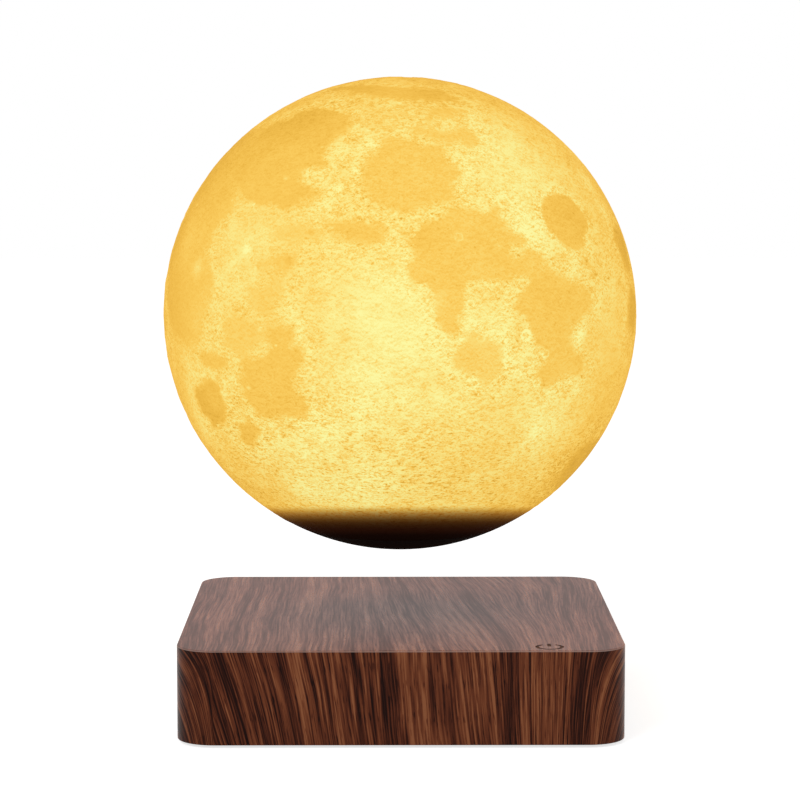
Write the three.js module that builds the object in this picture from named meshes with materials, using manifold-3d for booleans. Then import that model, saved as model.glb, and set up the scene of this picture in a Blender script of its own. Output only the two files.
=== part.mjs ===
// Levitating moon lamp: a printed moon globe that floats over a square base with a wood film.
// Millimetres, +Z up, +Y away from the viewer. The origin is the middle of the feet's underside.

import * as THREE from 'three';
import { mergeVertices } from 'three/addons/utils/BufferGeometryUtils.js';
import Module from 'manifold-3d';

const wasm = await Module();
wasm.setup();

// Clearances
const seatGap = 0.2;
const slipGap = 0.3;
const threadGap = 0.15;
const cutOverrun = 1;
const weldTolerance = 0.0001;

// Facet counts
const globeSides = 52;
const globeRings = 22;
const globeInnerRings = 6;
const plugRings = 4;
const domeRings = 5;
const discSides = 36;
const spoolSides = 20;
const rodSides = 12;
const pilotSides = 8;
const wireSides = 5;
const cornerFacets = 5;
const edgeFacets = 2;
const springStepsPerTurn = 8;

// Base case, a shell that is open below
const caseSide = 135;
const caseHeight = 28.5;
const caseCornerRadius = 11.5;
const caseWall = 3;
const caseRoof = 2.4;
const caseEdgeRound = 0.8;
const bossRadius = 3.5;

// Power sign, cut into the roof
const signFromRight = 22.5;
const signFromFront = 6.5;
const signOuterRadius = 4.2;
const signLine = 1.1;
const signDepth = 0.4;
const signTickReach = 0.6;
const signTickLength = 4.2;
const signOpening = Math.PI / 3;

// Bottom plate, its feet and its screws
const plateThickness = 2.4;
const footRadius = 6;
const footHeight = 2;
const footProud = 1;
const footFromSide = 23.5;
const footEdgeRound = 0.4;
const pillarRadius = 4;
const pillarNeckRadius = 2.4;
const screwHeadRadius = 2.5;
const screwHeadHeight = 1.2;
const screwShankRadius = 1.2;
const plateScrewLength = 8;
const trayScrewLength = 4.5;
const screwSlotWidth = 0.6;
const screwSlotDepth = 0.5;
const screwSlotShare = 1.2;
const screwDomeShare = 1 / 3;

// Control board and what stands on it
const boardStandoffShare = 0.126;
const boardThickness = 1.6;
const boardBossGap = 1.5;
const boardEdgeGap = 1.5;
const boardCornerRadius = 3;
const partFromBoardEdge = 0.5;
const partSpacing = 1.5;
const controllerSide = 10;
const controllerHeight = 1.4;
const driverWidth = 6;
const driverDepth = 5;
const driverHeight = 1.2;
const driverFromMiddle = 18;
const inductorSide = 10;
const inductorHeight = 4.5;
const inductorCornerRadius = 1.5;
const capacitorRadius = 4;
const capacitorHeight = 11;
const capacitorEdgeRound = 0.6;

// Power jack, for a plug with a 5.5 mm barrel
const jackWidth = 9;
const jackDepth = 14;
const jackHeight = 11;
const jackAxisHeight = 6.5;
const jackNoseRadius = 4;
const jackNoseSink = 0.4;
const jackBoreRadius = 3.15;
const jackBoreDepth = 9.5;
const jackPinRadius = 1;
const jackPinSink = 1;
const jackTrayGap = 1.2;

// Tray that carries the ring magnet and the four coils
const trayLiftShare = 0.112;
const trayFloor = 1.6;
const trayRimWall = 1.6;
const trayRimDrop = 1;
const trayInnerWall = 1.2;
const trayInnerWallHeight = 3;
const trayEarReach = 3.5;
const trayEarRadius = 5;
const ringMagnetInnerShare = 0.724;
const ringMagnetHeadroom = 1.5;

// Lifting coils and the sensors between them
const coilCount = 4;
const coilSpacing = 1;
const coilWallGap = 0.5;
const coilHeadroomShare = 0.088;
const bobbinFlange = 0.8;
const bobbinTubeWall = 0.9;
const coilCoreShare = 0.292;
const windingFillShare = 0.94;
const leadRadius = 0.5;
const leadInset = 0.7;
const sensorPostRadius = 3;
const sensorBoardGap = 1;
const sensorBoardThickness = 0.8;
const sensorBoardDrop = 4;
const sensorLong = 3;
const sensorShort = 2.4;
const sensorHeight = 1.5;
const sensorPlaceShare = 0.58;
const sensorRowShare = 0.28;

// Power transmitter and touch switch, both under the roof
const transmitterThickness = 1.6;
const transmitterWidth = 7;
const transmitterLeadRadius = 0.6;
const electrodeThickness = 0.4;
const electrodeDepth = 8;
const electrodeWallGap = 0.5;
const electrodeBossGap = 0.8;
const touchSpringRadius = 2.4;
const touchSpringWireRadius = 0.35;
const touchSpringTurns = 5;

// Moon globe, and how high it floats over the case
const moonRadius = 75;
const moonWall = 1.8;
const moonOpeningRadius = 31;
const levitationGap = 20.8;

// Magnet, carrier and power receiver in the bottom of the globe
const carrierWall = 1.5;
const carrierFloor = 0.8;
const carrierRimHeight = 0.5;
const floatingMagnetThickness = 10;
const receiverCoilWidth = 3.6;
const receiverCoilHeight = 3;
const receiverBoardThickness = 1.2;
const receiverPartPlaceShare = 0.7;
const rectifierSide = 5;
const rectifierHeight = 1.6;
const receiverCapacitorRadius = 3.2;
const receiverCapacitorHeight = 6;

// Light source on its column
const columnFootRadius = 9;
const columnShaftRadius = 5;
const columnFlangeRadius = 12;
const columnFlangeThickness = 2.5;
const columnHeight = 8.4;
const lampBoardMargin = 2;
const lampBoardThickness = 1.2;
const emitterRadius = 6.6;
const emitterThickness = 0.9;
const lampScrewCircle = 9.2;
const lampScrewHeadRadius = 1.3;
const lampScrewHeadHeight = 0.8;
const lampScrewShankRadius = 0.7;
const lampScrewLength = 3.2;
const domeWall = 1.2;
const domeSkirt = 4;
const ribbonWidth = 3;
const ribbonThickness = 0.8;

// Heights in the base, worked out upwards from the plate and downwards from the roof
const caseBottom = footProud;
const caseTop = caseBottom + caseHeight;
const ceiling = caseTop - caseRoof;
const plateTop = caseBottom + plateThickness;
const pillarShoulder = plateTop + caseHeight * boardStandoffShare;
const boardBottom = pillarShoulder + seatGap;
const boardTop = boardBottom + boardThickness;
const onBoard = boardTop + seatGap;
const trayBottom = boardTop + caseHeight * trayLiftShare;
const trayFloorTop = trayBottom + trayFloor;
const inTray = trayFloorTop + seatGap;
const transmitterTop = ceiling - seatGap;
const transmitterBottom = transmitterTop - transmitterThickness;
const ringMagnetTop = transmitterBottom - ringMagnetHeadroom;
const bobbinTop = ceiling - caseHeight * coilHeadroomShare;
const sensorBoardTop = bobbinTop - sensorBoardDrop;
const sensorBoardBottom = sensorBoardTop - sensorBoardThickness;
const electrodeBottom = transmitterTop - electrodeThickness;

// Places in the base, worked out inwards from the case
const pocketHalf = caseSide / 2 - caseWall;
const pocketCornerRadius = caseCornerRadius - caseWall;
const bossPlace = caseSide / 2 - caseCornerRadius;
const footPlace = caseSide / 2 - footFromSide;
const signX = caseSide / 2 - signFromRight;
const signY = signFromFront - caseSide / 2;
const boardHalfX = bossPlace - bossRadius - boardBossGap;
const boardHalfY = pocketHalf - boardEdgeGap;
const jackFront = pocketHalf - slipGap;
const jackAxisZ = onBoard + jackAxisHeight;
const jackNoseFace = caseSide / 2 - jackNoseSink;
const trayOuterRadius = jackFront - jackDepth - jackTrayGap;
const ringMagnetOuterRadius = trayOuterRadius - trayRimWall - slipGap;
const ringMagnetInnerRadius = ringMagnetOuterRadius * ringMagnetInnerShare;
const trayInnerWallOuter = ringMagnetInnerRadius - slipGap;
const trayInnerWallInner = trayInnerWallOuter - trayInnerWall;
const pillarPlace = (trayOuterRadius + trayEarReach) * Math.SQRT1_2;

// The coils stand in a circle inside the ring magnet, as wide as their number lets them be
const coilField = trayInnerWallInner - coilWallGap;
const coilHalfAngleSine = Math.sin(Math.PI / coilCount);
const bobbinRadius = (coilField * coilHalfAngleSine - coilSpacing / 2) / (1 + coilHalfAngleSine);
const coilCircle = coilField - bobbinRadius;
const windingOuterRadius = bobbinRadius * windingFillShare;
const coreRadius = bobbinRadius * coilCoreShare;
const bobbinTubeInner = coreRadius + slipGap;
const bobbinTubeOuter = bobbinTubeInner + bobbinTubeWall;
const leadFromCoil = windingOuterRadius - leadInset;
const sensorBoardHalf = coilCircle - bobbinRadius - sensorBoardGap;

// Heights and radii in the globe, from its centre
const moonCentre = caseTop + levitationGap + moonRadius;
const moonInnerRadius = moonRadius - moonWall;
const carrierOuterRadius = moonOpeningRadius - slipGap;
const carrierInnerRadius = carrierOuterRadius - carrierWall;
const receiverCoilOuterRadius = carrierInnerRadius - slipGap;
const receiverCoilInnerRadius = receiverCoilOuterRadius - receiverCoilWidth;
const floatingMagnetRadius = receiverCoilInnerRadius - slipGap;
const plugTop = -Math.sqrt(moonRadius ** 2 - carrierOuterRadius ** 2);
const carrierBottom = plugTop + seatGap;
const carrierFloorTop = carrierBottom + carrierFloor;
const inCarrier = carrierFloorTop + seatGap;
const floatingMagnetTop = inCarrier + floatingMagnetThickness;
const receiverBoardBottom = floatingMagnetTop + seatGap;
const receiverBoardTop = receiverBoardBottom + receiverBoardThickness;
const receiverBoardRadius = carrierInnerRadius - slipGap;
const onReceiverBoard = receiverBoardTop + seatGap;
const columnTop = onReceiverBoard + columnHeight;
const lampBoardBottom = columnTop + seatGap;
const lampBoardTop = lampBoardBottom + lampBoardThickness;
const onLampBoard = lampBoardTop + seatGap;
const lampBoardRadius = columnFlangeRadius + lampBoardMargin;
const domeOuterRadius = lampBoardRadius - slipGap;

// Turn a closed geometry into a solid that can be joined and cut
function solidOf(geometry) {
  const bare = geometry.clone();
  bare.deleteAttribute('normal');
  bare.deleteAttribute('uv');
  const merged = mergeVertices(bare, weldTolerance);
  const corners = merged.index.array;
  const kept = [];
  for (let i = 0; i < corners.length; i += 3) {
    const [a, b, c] = [corners[i], corners[i + 1], corners[i + 2]];
    if (a !== b && b !== c && c !== a) {
      kept.push(a, b, c);
    }
  }
  return new wasm.Manifold(new wasm.Mesh({
    numProp: 3,
    vertProperties: Float32Array.from(merged.attributes.position.array),
    triVerts: Uint32Array.from(kept),
  }));
}

function geometryOf(solid) {
  const mesh = solid.getMesh();
  const geometry = new THREE.BufferGeometry();
  geometry.setAttribute('position', new THREE.BufferAttribute(mesh.vertProperties, mesh.numProp));
  geometry.setIndex(new THREE.BufferAttribute(mesh.triVerts, 1));
  geometry.computeVertexNormals();
  return geometry;
}

function shaped(added, removed = []) {
  let solid = solidOf(added[0]);
  for (const geometry of added.slice(1)) {
    solid = solid.add(solidOf(geometry));
  }
  for (const geometry of removed) {
    solid = solid.subtract(solidOf(geometry));
  }
  return geometryOf(solid);
}

// Revolve a profile of radius and height pairs about Z. It runs anticlockwise.
function turned(profile, sides = discSides) {
  const points = profile.map(([radius, height]) => new THREE.Vector2(radius, height));
  return new THREE.LatheGeometry(points, sides).rotateX(Math.PI / 2);
}

function disc(radius, bottom, top, sides = discSides) {
  return turned([[0, bottom], [radius, bottom], [radius, top], [0, top]], sides);
}

function band(inner, outer, bottom, top, sides = discSides) {
  return turned([[inner, bottom], [outer, bottom], [outer, top], [inner, top], [inner, bottom]], sides);
}

function rod(radius, bottom, top, x = 0, y = 0, sides = rodSides) {
  return disc(radius, bottom, top, sides).translate(x, y, 0);
}

// A rod along Y, from its near end to its far end
function crossRod(radius, near, far, z, sides = rodSides) {
  return disc(radius, near, far, sides).rotateX(-Math.PI / 2).translate(0, 0, z);
}

function block(width, depth, bottom, top, x = 0, y = 0) {
  return new THREE.BoxGeometry(width, depth, top - bottom).translate(x, y, (bottom + top) / 2);
}

function roundedRectangle(halfX, halfY, radius) {
  const outline = new THREE.Shape();
  outline.absarc(halfX - radius, halfY - radius, radius, 0, Math.PI / 2);
  outline.absarc(radius - halfX, halfY - radius, radius, Math.PI / 2, Math.PI);
  outline.absarc(radius - halfX, radius - halfY, radius, Math.PI, Math.PI * 1.5);
  outline.absarc(halfX - radius, radius - halfY, radius, Math.PI * 1.5, Math.PI * 2);
  return outline;
}

function slab(outline, bottom, top, curveSegments = cornerFacets) {
  const options = { depth: top - bottom, bevelEnabled: false, curveSegments };
  return new THREE.ExtrudeGeometry(outline, options).translate(0, 0, bottom);
}

// A slab whose top and bottom edges are rounded
function softSlab(outline, bottom, top, round) {
  const options = {
    depth: top - bottom - 2 * round,
    bevelThickness: round,
    bevelSize: round,
    bevelOffset: -round,
    bevelSegments: edgeFacets,
    curveSegments: cornerFacets,
  };
  return new THREE.ExtrudeGeometry(outline, options).translate(0, 0, bottom + round);
}

function arcPoints(radius, from, to, steps) {
  return Array.from({ length: steps + 1 }, (_, i) => {
    const angle = from + (to - from) * i / steps;
    return [radius * Math.cos(angle), radius * Math.sin(angle)];
  });
}

// The four places of a piece that repeats in each quarter of the base
function quarters(place) {
  return [[1, 1], [-1, 1], [-1, -1], [1, -1]].map(([x, y]) => [x * place, y * place]);
}

function finish(color, roughness, metalness = 0) {
  return () => new THREE.MeshStandardMaterial({ color, roughness, metalness });
}

const walnutFilm = finish('#55301f', 0.42);
const blackPlastic = finish('#1d1c1b', 0.6);
const blackRubber = finish('#141414', 0.9);
const zincedSteel = finish('#b9bbbd', 0.35, 1);
const softIron = finish('#8b8d90', 0.5, 1);
const ferrite = finish('#2b2b2d', 0.7);
const nickelPlate = finish('#c9c7c1', 0.25, 1);
const naturalNylon = finish('#e6e0d2', 0.55);
const enamelledCopper = finish('#b2602c', 0.35, 1);
const greenSolderMask = finish('#1d5a37', 0.4);
const whiteSolderMask = finish('#ecece6', 0.4);
const blackEpoxy = finish('#202022', 0.5);
const capacitorSleeve = finish('#23262f', 0.4);
const copperFoil = finish('#c07a45', 0.3, 1);
const phosphor = finish('#f2c53c', 0.5);
const printedShell = finish('#f6cf6e', 0.7);
const printedPlug = finish('#15100c', 0.7);
const opalPlastic = finish('#f3efe4', 0.45);
const aluminium = finish('#c3c6c8', 0.35, 1);
const greySilicone = finish('#77787a', 0.7);

function place(parent, name, geometry, material) {
  const mesh = new THREE.Mesh(geometry, material());
  mesh.name = name;
  parent.add(mesh);
}

// The power sign: a ring that is open at the back, with a tick in the opening
function signCutters() {
  const inner = signOuterRadius - signLine;
  const start = (Math.PI + signOpening) / 2;
  const end = start + 2 * Math.PI - signOpening;
  const ring = new THREE.Shape();
  ring.absarc(0, 0, signOuterRadius, start, end);
  ring.absarc(0, 0, inner, end, start, true);
  const tickY = signY + signOuterRadius + signTickReach - signTickLength / 2;
  const floor = caseTop - signDepth;
  return [
    slab(ring, floor, caseTop + cutOverrun, spoolSides).translate(signX, signY, 0),
    block(signLine, signTickLength, floor, caseTop + cutOverrun, signX, tickY),
  ];
}

function baseCase() {
  const outside = roundedRectangle(caseSide / 2, caseSide / 2, caseCornerRadius);
  const inside = roundedRectangle(pocketHalf, pocketHalf, pocketCornerRadius);
  const shell = shaped(
    [softSlab(outside, caseBottom, caseTop, caseEdgeRound)],
    [slab(inside, caseBottom - cutOverrun, ceiling)],
  );
  const pilotTop = caseBottom + screwHeadHeight + plateScrewLength + cutOverrun;
  const bosses = quarters(bossPlace).map(([x, y]) => (
    rod(bossRadius, plateTop + seatGap, ceiling + caseRoof / 2, x, y)));
  const pilots = quarters(bossPlace).map(([x, y]) => (
    rod(screwShankRadius + threadGap, caseBottom, pilotTop, x, y, pilotSides)));
  const jackHole = crossRod(jackNoseRadius + slipGap, pocketHalf - cutOverrun,
    caseSide / 2 + cutOverrun, jackAxisZ);
  return shaped([shell, ...bosses], [...pilots, jackHole, ...signCutters()]);
}

function bottomPlate() {
  const half = pocketHalf - slipGap;
  const outline = roundedRectangle(half, half, pocketCornerRadius - slipGap);
  const pillars = quarters(pillarPlace).flatMap(([x, y]) => [
    rod(pillarRadius, caseBottom + plateThickness / 2, pillarShoulder, x, y),
    rod(pillarNeckRadius, caseBottom + plateThickness / 2, trayBottom - seatGap, x, y),
  ]);
  const pillarPilots = quarters(pillarPlace).map(([x, y]) => (
    rod(screwShankRadius + threadGap, trayBottom - trayScrewLength, trayBottom, x, y, pilotSides)));
  const footRecesses = quarters(footPlace).map(([x, y]) => (
    rod(footRadius + slipGap, caseBottom - cutOverrun, footHeight + seatGap, x, y, spoolSides)));
  const screwHoles = quarters(bossPlace).flatMap(([x, y]) => [
    rod(screwShankRadius + slipGap, caseBottom - cutOverrun, plateTop + cutOverrun, x, y),
    rod(screwHeadRadius + slipGap, caseBottom - cutOverrun, caseBottom + screwHeadHeight + seatGap, x, y),
  ]);
  return shaped([slab(outline, caseBottom, plateTop), ...pillars],
    [...pillarPilots, ...footRecesses, ...screwHoles]);
}

function rubberFoot() {
  return turned([
    [0, 0],
    [footRadius - footEdgeRound, 0],
    [footRadius, footEdgeRound],
    [footRadius, footHeight],
    [0, footHeight],
  ], spoolSides);
}

// A pan-head screw with a cross slot. Its head rests on zero and its shank points up.
function caseScrew(length) {
  const dome = screwHeadHeight * screwDomeShare;
  const slotLength = screwHeadRadius * screwSlotShare;
  const slotFloor = screwSlotDepth - screwHeadHeight;
  return shaped(
    [
      turned([
        [0, -screwHeadHeight],
        [screwHeadRadius - dome, -screwHeadHeight],
        [screwHeadRadius, dome - screwHeadHeight],
        [screwHeadRadius, 0],
        [screwShankRadius, 0],
        [screwShankRadius, length - screwShankRadius],
        [0, length],
      ], rodSides),
    ],
    [
      block(slotLength, screwSlotWidth, -screwHeadHeight - cutOverrun, slotFloor),
      block(screwSlotWidth, slotLength, -screwHeadHeight - cutOverrun, slotFloor),
    ],
  );
}

function controlBoard() {
  const outline = roundedRectangle(boardHalfX, boardHalfY, boardCornerRadius);
  const holes = quarters(pillarPlace).map(([x, y]) => (
    rod(pillarNeckRadius + slipGap, boardBottom - cutOverrun, boardTop + cutOverrun, x, y)));
  return shaped([slab(outline, boardBottom, boardTop)], holes);
}

function inductor() {
  const half = inductorSide / 2;
  const outline = roundedRectangle(half, half, inductorCornerRadius);
  return slab(outline, onBoard, onBoard + inductorHeight);
}

function capacitorCan(radius, bottom, height) {
  const top = bottom + height;
  const round = capacitorEdgeRound;
  return turned([[0, bottom], [radius, bottom], [radius, top - round], [radius - round, top], [0, top]],
    rodSides);
}

function jackHousing() {
  const body = block(jackWidth, jackDepth, onBoard, onBoard + jackHeight, 0, jackFront - jackDepth / 2);
  const nose = crossRod(jackNoseRadius, jackFront - cutOverrun, jackNoseFace, jackAxisZ);
  const bore = crossRod(jackBoreRadius, jackNoseFace - jackBoreDepth, jackNoseFace + cutOverrun, jackAxisZ);
  return shaped([body, nose], [bore]);
}

function jackPin() {
  const root = jackNoseFace - jackBoreDepth + seatGap;
  const tip = jackNoseFace - jackPinSink;
  const shoulder = tip - jackPinRadius / 2;
  return turned([[0, root], [jackPinRadius, root], [jackPinRadius, shoulder], [0, tip]], rodSides)
    .rotateX(-Math.PI / 2)
    .translate(0, 0, jackAxisZ);
}

// The angle and the middle of each coil, one after another round the base
function coilPlaces() {
  return Array.from({ length: coilCount }, (_, i) => {
    const angle = 2 * Math.PI * i / coilCount;
    return { angle, x: coilCircle * Math.cos(angle), y: coilCircle * Math.sin(angle) };
  });
}

// Where a coil's lead runs down, on the side away from the middle of the base
function leadPlace({ angle }) {
  const reach = coilCircle + leadFromCoil;
  return [reach * Math.cos(angle), reach * Math.sin(angle)];
}

function coilTray() {
  const rimTop = ringMagnetTop - trayRimDrop;
  const rimInner = trayOuterRadius - trayRimWall;
  const wallTop = trayFloorTop + trayInnerWallHeight;
  const ears = quarters(pillarPlace).map(([x, y]) => rod(trayEarRadius, trayBottom, trayFloorTop, x, y));
  const sleeves = quarters(pillarPlace).map(([x, y]) => (
    rod(pillarRadius, boardTop + seatGap, trayBottom + trayFloor / 2, x, y)));
  const sleeveBores = quarters(pillarPlace).map(([x, y]) => (
    rod(pillarNeckRadius + slipGap, boardTop - cutOverrun, trayBottom, x, y)));
  const earHoles = quarters(pillarPlace).map(([x, y]) => (
    rod(screwShankRadius + slipGap, trayBottom - cutOverrun, trayFloorTop + cutOverrun, x, y)));
  const leadHoles = coilPlaces().map((coil) => (
    rod(leadRadius + slipGap, trayBottom - cutOverrun, trayFloorTop + cutOverrun, ...leadPlace(coil))));
  return shaped(
    [
      disc(trayOuterRadius, trayBottom, trayFloorTop),
      band(rimInner, trayOuterRadius, trayBottom, rimTop),
      band(trayInnerWallInner, trayInnerWallOuter, trayBottom, wallTop),
      rod(sensorPostRadius, trayBottom, sensorBoardBottom - seatGap),
      ...ears,
      ...sleeves,
    ],
    [...sleeveBores, ...earHoles, ...leadHoles],
  );
}

function bobbin(coil) {
  const [leadX, leadY] = leadPlace(coil);
  const spool = turned([
    [bobbinTubeInner, inTray],
    [bobbinRadius, inTray],
    [bobbinRadius, inTray + bobbinFlange],
    [bobbinTubeOuter, inTray + bobbinFlange],
    [bobbinTubeOuter, bobbinTop - bobbinFlange],
    [bobbinRadius, bobbinTop - bobbinFlange],
    [bobbinRadius, bobbinTop],
    [bobbinTubeInner, bobbinTop],
    [bobbinTubeInner, inTray],
  ], spoolSides);
  const leadHole = rod(leadRadius + slipGap, inTray - cutOverrun, inTray + bobbinFlange + cutOverrun,
    leadX - coil.x, leadY - coil.y, pilotSides);
  return shaped([spool], [leadHole]).translate(coil.x, coil.y, 0);
}

function winding(coil) {
  const bottom = inTray + bobbinFlange + seatGap;
  const top = bobbinTop - bobbinFlange - seatGap;
  const wound = band(bobbinTubeOuter + slipGap, windingOuterRadius, bottom, top, spoolSides);
  const lead = rod(leadRadius, onBoard, (bottom + top) / 2, ...leadPlace(coil), pilotSides);
  return shaped([wound.translate(coil.x, coil.y, 0), lead]);
}

function sensorPlaces() {
  const side = sensorBoardHalf * sensorPlaceShare;
  const row = sensorBoardHalf * sensorRowShare;
  return {
    hall_sensor_x: { width: sensorShort, depth: sensorLong, x: -side, y: -row },
    hall_sensor_y: { width: sensorShort, depth: sensorLong, x: side, y: -row },
    hall_sensor_z: { width: sensorLong, depth: sensorShort, x: 0, y: side },
  };
}

// The transmitter is a flat ring of litz wire; its lead drops to the board at the front
function transmitterCoil() {
  const inner = trayOuterRadius;
  const outer = inner + transmitterWidth;
  const leadY = -(inner + outer) / 2;
  const lead = rod(transmitterLeadRadius, onBoard, transmitterBottom + transmitterThickness / 2, 0, leadY,
    pilotSides);
  return shaped([band(inner, outer, transmitterBottom, transmitterTop), lead]);
}

function electrodeY() {
  return electrodeWallGap + electrodeDepth / 2 - pocketHalf;
}

function touchElectrode() {
  const halfWidth = bossPlace - bossRadius - electrodeBossGap - signX;
  return block(2 * halfWidth, electrodeDepth, electrodeBottom, transmitterTop, signX, electrodeY());
}

class Helix extends THREE.Curve {
  getPoint(share, target = new THREE.Vector3()) {
    const bottom = onBoard + touchSpringWireRadius;
    const top = electrodeBottom - seatGap - touchSpringWireRadius;
    const angle = 2 * Math.PI * touchSpringTurns * share;
    const x = signX + touchSpringRadius * Math.cos(angle);
    const y = electrodeY() + touchSpringRadius * Math.sin(angle);
    return target.set(x, y, bottom + (top - bottom) * share);
  }
}

function touchSpring() {
  const section = new THREE.Shape(arcPoints(touchSpringWireRadius, 0, 2 * Math.PI, wireSides)
    .slice(0, wireSides)
    .map(([x, y]) => new THREE.Vector2(x, y)));
  const steps = touchSpringTurns * springStepsPerTurn;
  return new THREE.ExtrudeGeometry(section, { steps, extrudePath: new Helix(), bevelEnabled: false });
}

// A printed shell: two spheres, joined by the straight wall of the opening at the bottom
function moonShell() {
  const outerEdge = -Math.acos(moonOpeningRadius / moonRadius);
  const innerEdge = -Math.acos(moonOpeningRadius / moonInnerRadius);
  const outer = arcPoints(moonRadius, outerEdge, Math.PI / 2, globeRings);
  const inner = arcPoints(moonInnerRadius, Math.PI / 2, innerEdge, globeInnerRings);
  return turned([...outer, ...inner, outer[0]], globeSides);
}

// The cap that closes the opening, flush with the globe
function bottomPlug() {
  const edge = -Math.acos(carrierOuterRadius / moonRadius);
  const underside = arcPoints(moonRadius, -Math.PI / 2, edge, plugRings);
  return turned([...underside, [0, plugTop]]);
}

function magnetCarrier() {
  const rim = receiverBoardTop + carrierRimHeight;
  return turned([
    [0, carrierBottom],
    [carrierOuterRadius, carrierBottom],
    [carrierOuterRadius, rim],
    [carrierInnerRadius, rim],
    [carrierInnerRadius, carrierFloorTop],
    [0, carrierFloorTop],
  ]);
}

function receiverCoil() {
  return band(receiverCoilInnerRadius, receiverCoilOuterRadius, inCarrier, inCarrier + receiverCoilHeight);
}

function receiverPartPlace() {
  return receiverBoardRadius * receiverPartPlaceShare;
}

// The column stands on a foot, and its flange has two holes for the lamp board's screws
function lampColumn() {
  const bottom = onReceiverBoard;
  const spool = turned([
    [0, bottom],
    [columnFootRadius, bottom],
    [columnFootRadius, bottom + columnFlangeThickness],
    [columnShaftRadius, bottom + columnFlangeThickness],
    [columnShaftRadius, columnTop - columnFlangeThickness],
    [columnFlangeRadius, columnTop - columnFlangeThickness],
    [columnFlangeRadius, columnTop],
    [0, columnTop],
  ], spoolSides);
  return shaped([spool], lampScrewSides().map((side) => (
    rod(lampScrewShankRadius + threadGap, columnTop - columnFlangeThickness - cutOverrun,
      columnTop + cutOverrun, side * lampScrewCircle, 0, pilotSides))));
}

function lampScrewSides() {
  return [1, -1];
}

function lampBoard() {
  const plate = disc(lampBoardRadius, lampBoardBottom, lampBoardTop);
  return shaped([plate], lampScrewSides().map((side) => (
    rod(lampScrewShankRadius + slipGap, lampBoardBottom - cutOverrun, lampBoardTop + cutOverrun,
      side * lampScrewCircle, 0, pilotSides))));
}

function lampScrew(side) {
  const neck = onLampBoard - lampScrewLength;
  return turned([
    [0, neck],
    [lampScrewShankRadius, neck + lampScrewShankRadius],
    [lampScrewShankRadius, onLampBoard],
    [lampScrewHeadRadius, onLampBoard],
    [lampScrewHeadRadius, onLampBoard + lampScrewHeadHeight],
    [0, onLampBoard + lampScrewHeadHeight],
  ], rodSides).translate(side * lampScrewCircle, 0, 0);
}

function diffuserDome() {
  const spring = onLampBoard + domeSkirt;
  const raise = ([radius, height]) => [radius, spring + height];
  const domeInnerRadius = domeOuterRadius - domeWall;
  return turned([
    [domeOuterRadius, onLampBoard],
    ...arcPoints(domeOuterRadius, 0, Math.PI / 2, domeRings).map(raise),
    ...arcPoints(domeInnerRadius, Math.PI / 2, 0, domeRings).map(raise),
    [domeInnerRadius, onLampBoard],
    [domeOuterRadius, onLampBoard],
  ], spoolSides);
}

function lampRibbon() {
  const y = columnFlangeRadius + slipGap + ribbonThickness / 2;
  return block(ribbonWidth, ribbonThickness, onReceiverBoard, lampBoardBottom - seatGap, 0, y);
}

function addCase(base) {
  place(base, 'base_case', baseCase(), walnutFilm);
  place(base, 'bottom_plate', bottomPlate(), blackPlastic);
  quarters(footPlace).forEach(([x, y], i) => {
    place(base, `rubber_foot_${i + 1}`, rubberFoot().translate(x, y, 0), blackRubber);
  });
  quarters(bossPlace).forEach(([x, y], i) => {
    const seat = caseBottom + screwHeadHeight;
    place(base, `plate_screw_${i + 1}`, caseScrew(plateScrewLength).translate(x, y, seat), zincedSteel);
  });
}

function addLifter(base) {
  place(base, 'coil_tray', coilTray(), naturalNylon);
  quarters(pillarPlace).forEach(([x, y], i) => {
    const screw = caseScrew(trayScrewLength).rotateX(Math.PI).translate(x, y, inTray);
    place(base, `tray_screw_${i + 1}`, screw, zincedSteel);
  });
  const magnet = band(ringMagnetInnerRadius, ringMagnetOuterRadius, inTray, ringMagnetTop);
  place(base, 'ring_magnet', magnet, ferrite);
  coilPlaces().forEach((coil, i) => {
    place(base, `coil_bobbin_${i + 1}`, bobbin(coil), naturalNylon);
    place(base, `coil_winding_${i + 1}`, winding(coil), enamelledCopper);
    place(base, `coil_core_${i + 1}`, rod(coreRadius, inTray, bobbinTop, coil.x, coil.y), softIron);
  });
}

function addSensors(base) {
  const side = 2 * sensorBoardHalf;
  place(base, 'sensor_board', block(side, side, sensorBoardBottom, sensorBoardTop), greenSolderMask);
  const bottom = sensorBoardTop + seatGap;
  for (const [name, { width, depth, x, y }] of Object.entries(sensorPlaces())) {
    place(base, name, block(width, depth, bottom, bottom + sensorHeight, x, y), blackEpoxy);
  }
}

function addControlBoard(base) {
  const rowEdge = boardHalfY - partFromBoardEdge;
  const chip = (width, depth, height, x) => block(width, depth, onBoard, onBoard + height, x, 0);
  place(base, 'control_board', controlBoard(), greenSolderMask);
  place(base, 'controller_chip', chip(controllerSide, controllerSide, controllerHeight, 0), blackEpoxy);
  place(base, 'driver_chip_1', chip(driverWidth, driverDepth, driverHeight, driverFromMiddle), blackEpoxy);
  place(base, 'driver_chip_2', chip(driverWidth, driverDepth, driverHeight, -driverFromMiddle), blackEpoxy);
  const inductorX = -(jackWidth / 2 + partSpacing + inductorSide / 2);
  const inductorPiece = inductor().translate(inductorX, rowEdge - inductorSide / 2, 0);
  place(base, 'power_inductor', inductorPiece, greySilicone);
  for (const i of [0, 1]) {
    const x = jackWidth / 2 + partSpacing + capacitorRadius + i * (2 * capacitorRadius + partSpacing);
    const can = capacitorCan(capacitorRadius, onBoard, capacitorHeight);
    can.translate(x, rowEdge - capacitorRadius, 0);
    place(base, `filter_capacitor_${i + 1}`, can, capacitorSleeve);
  }
}

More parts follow.
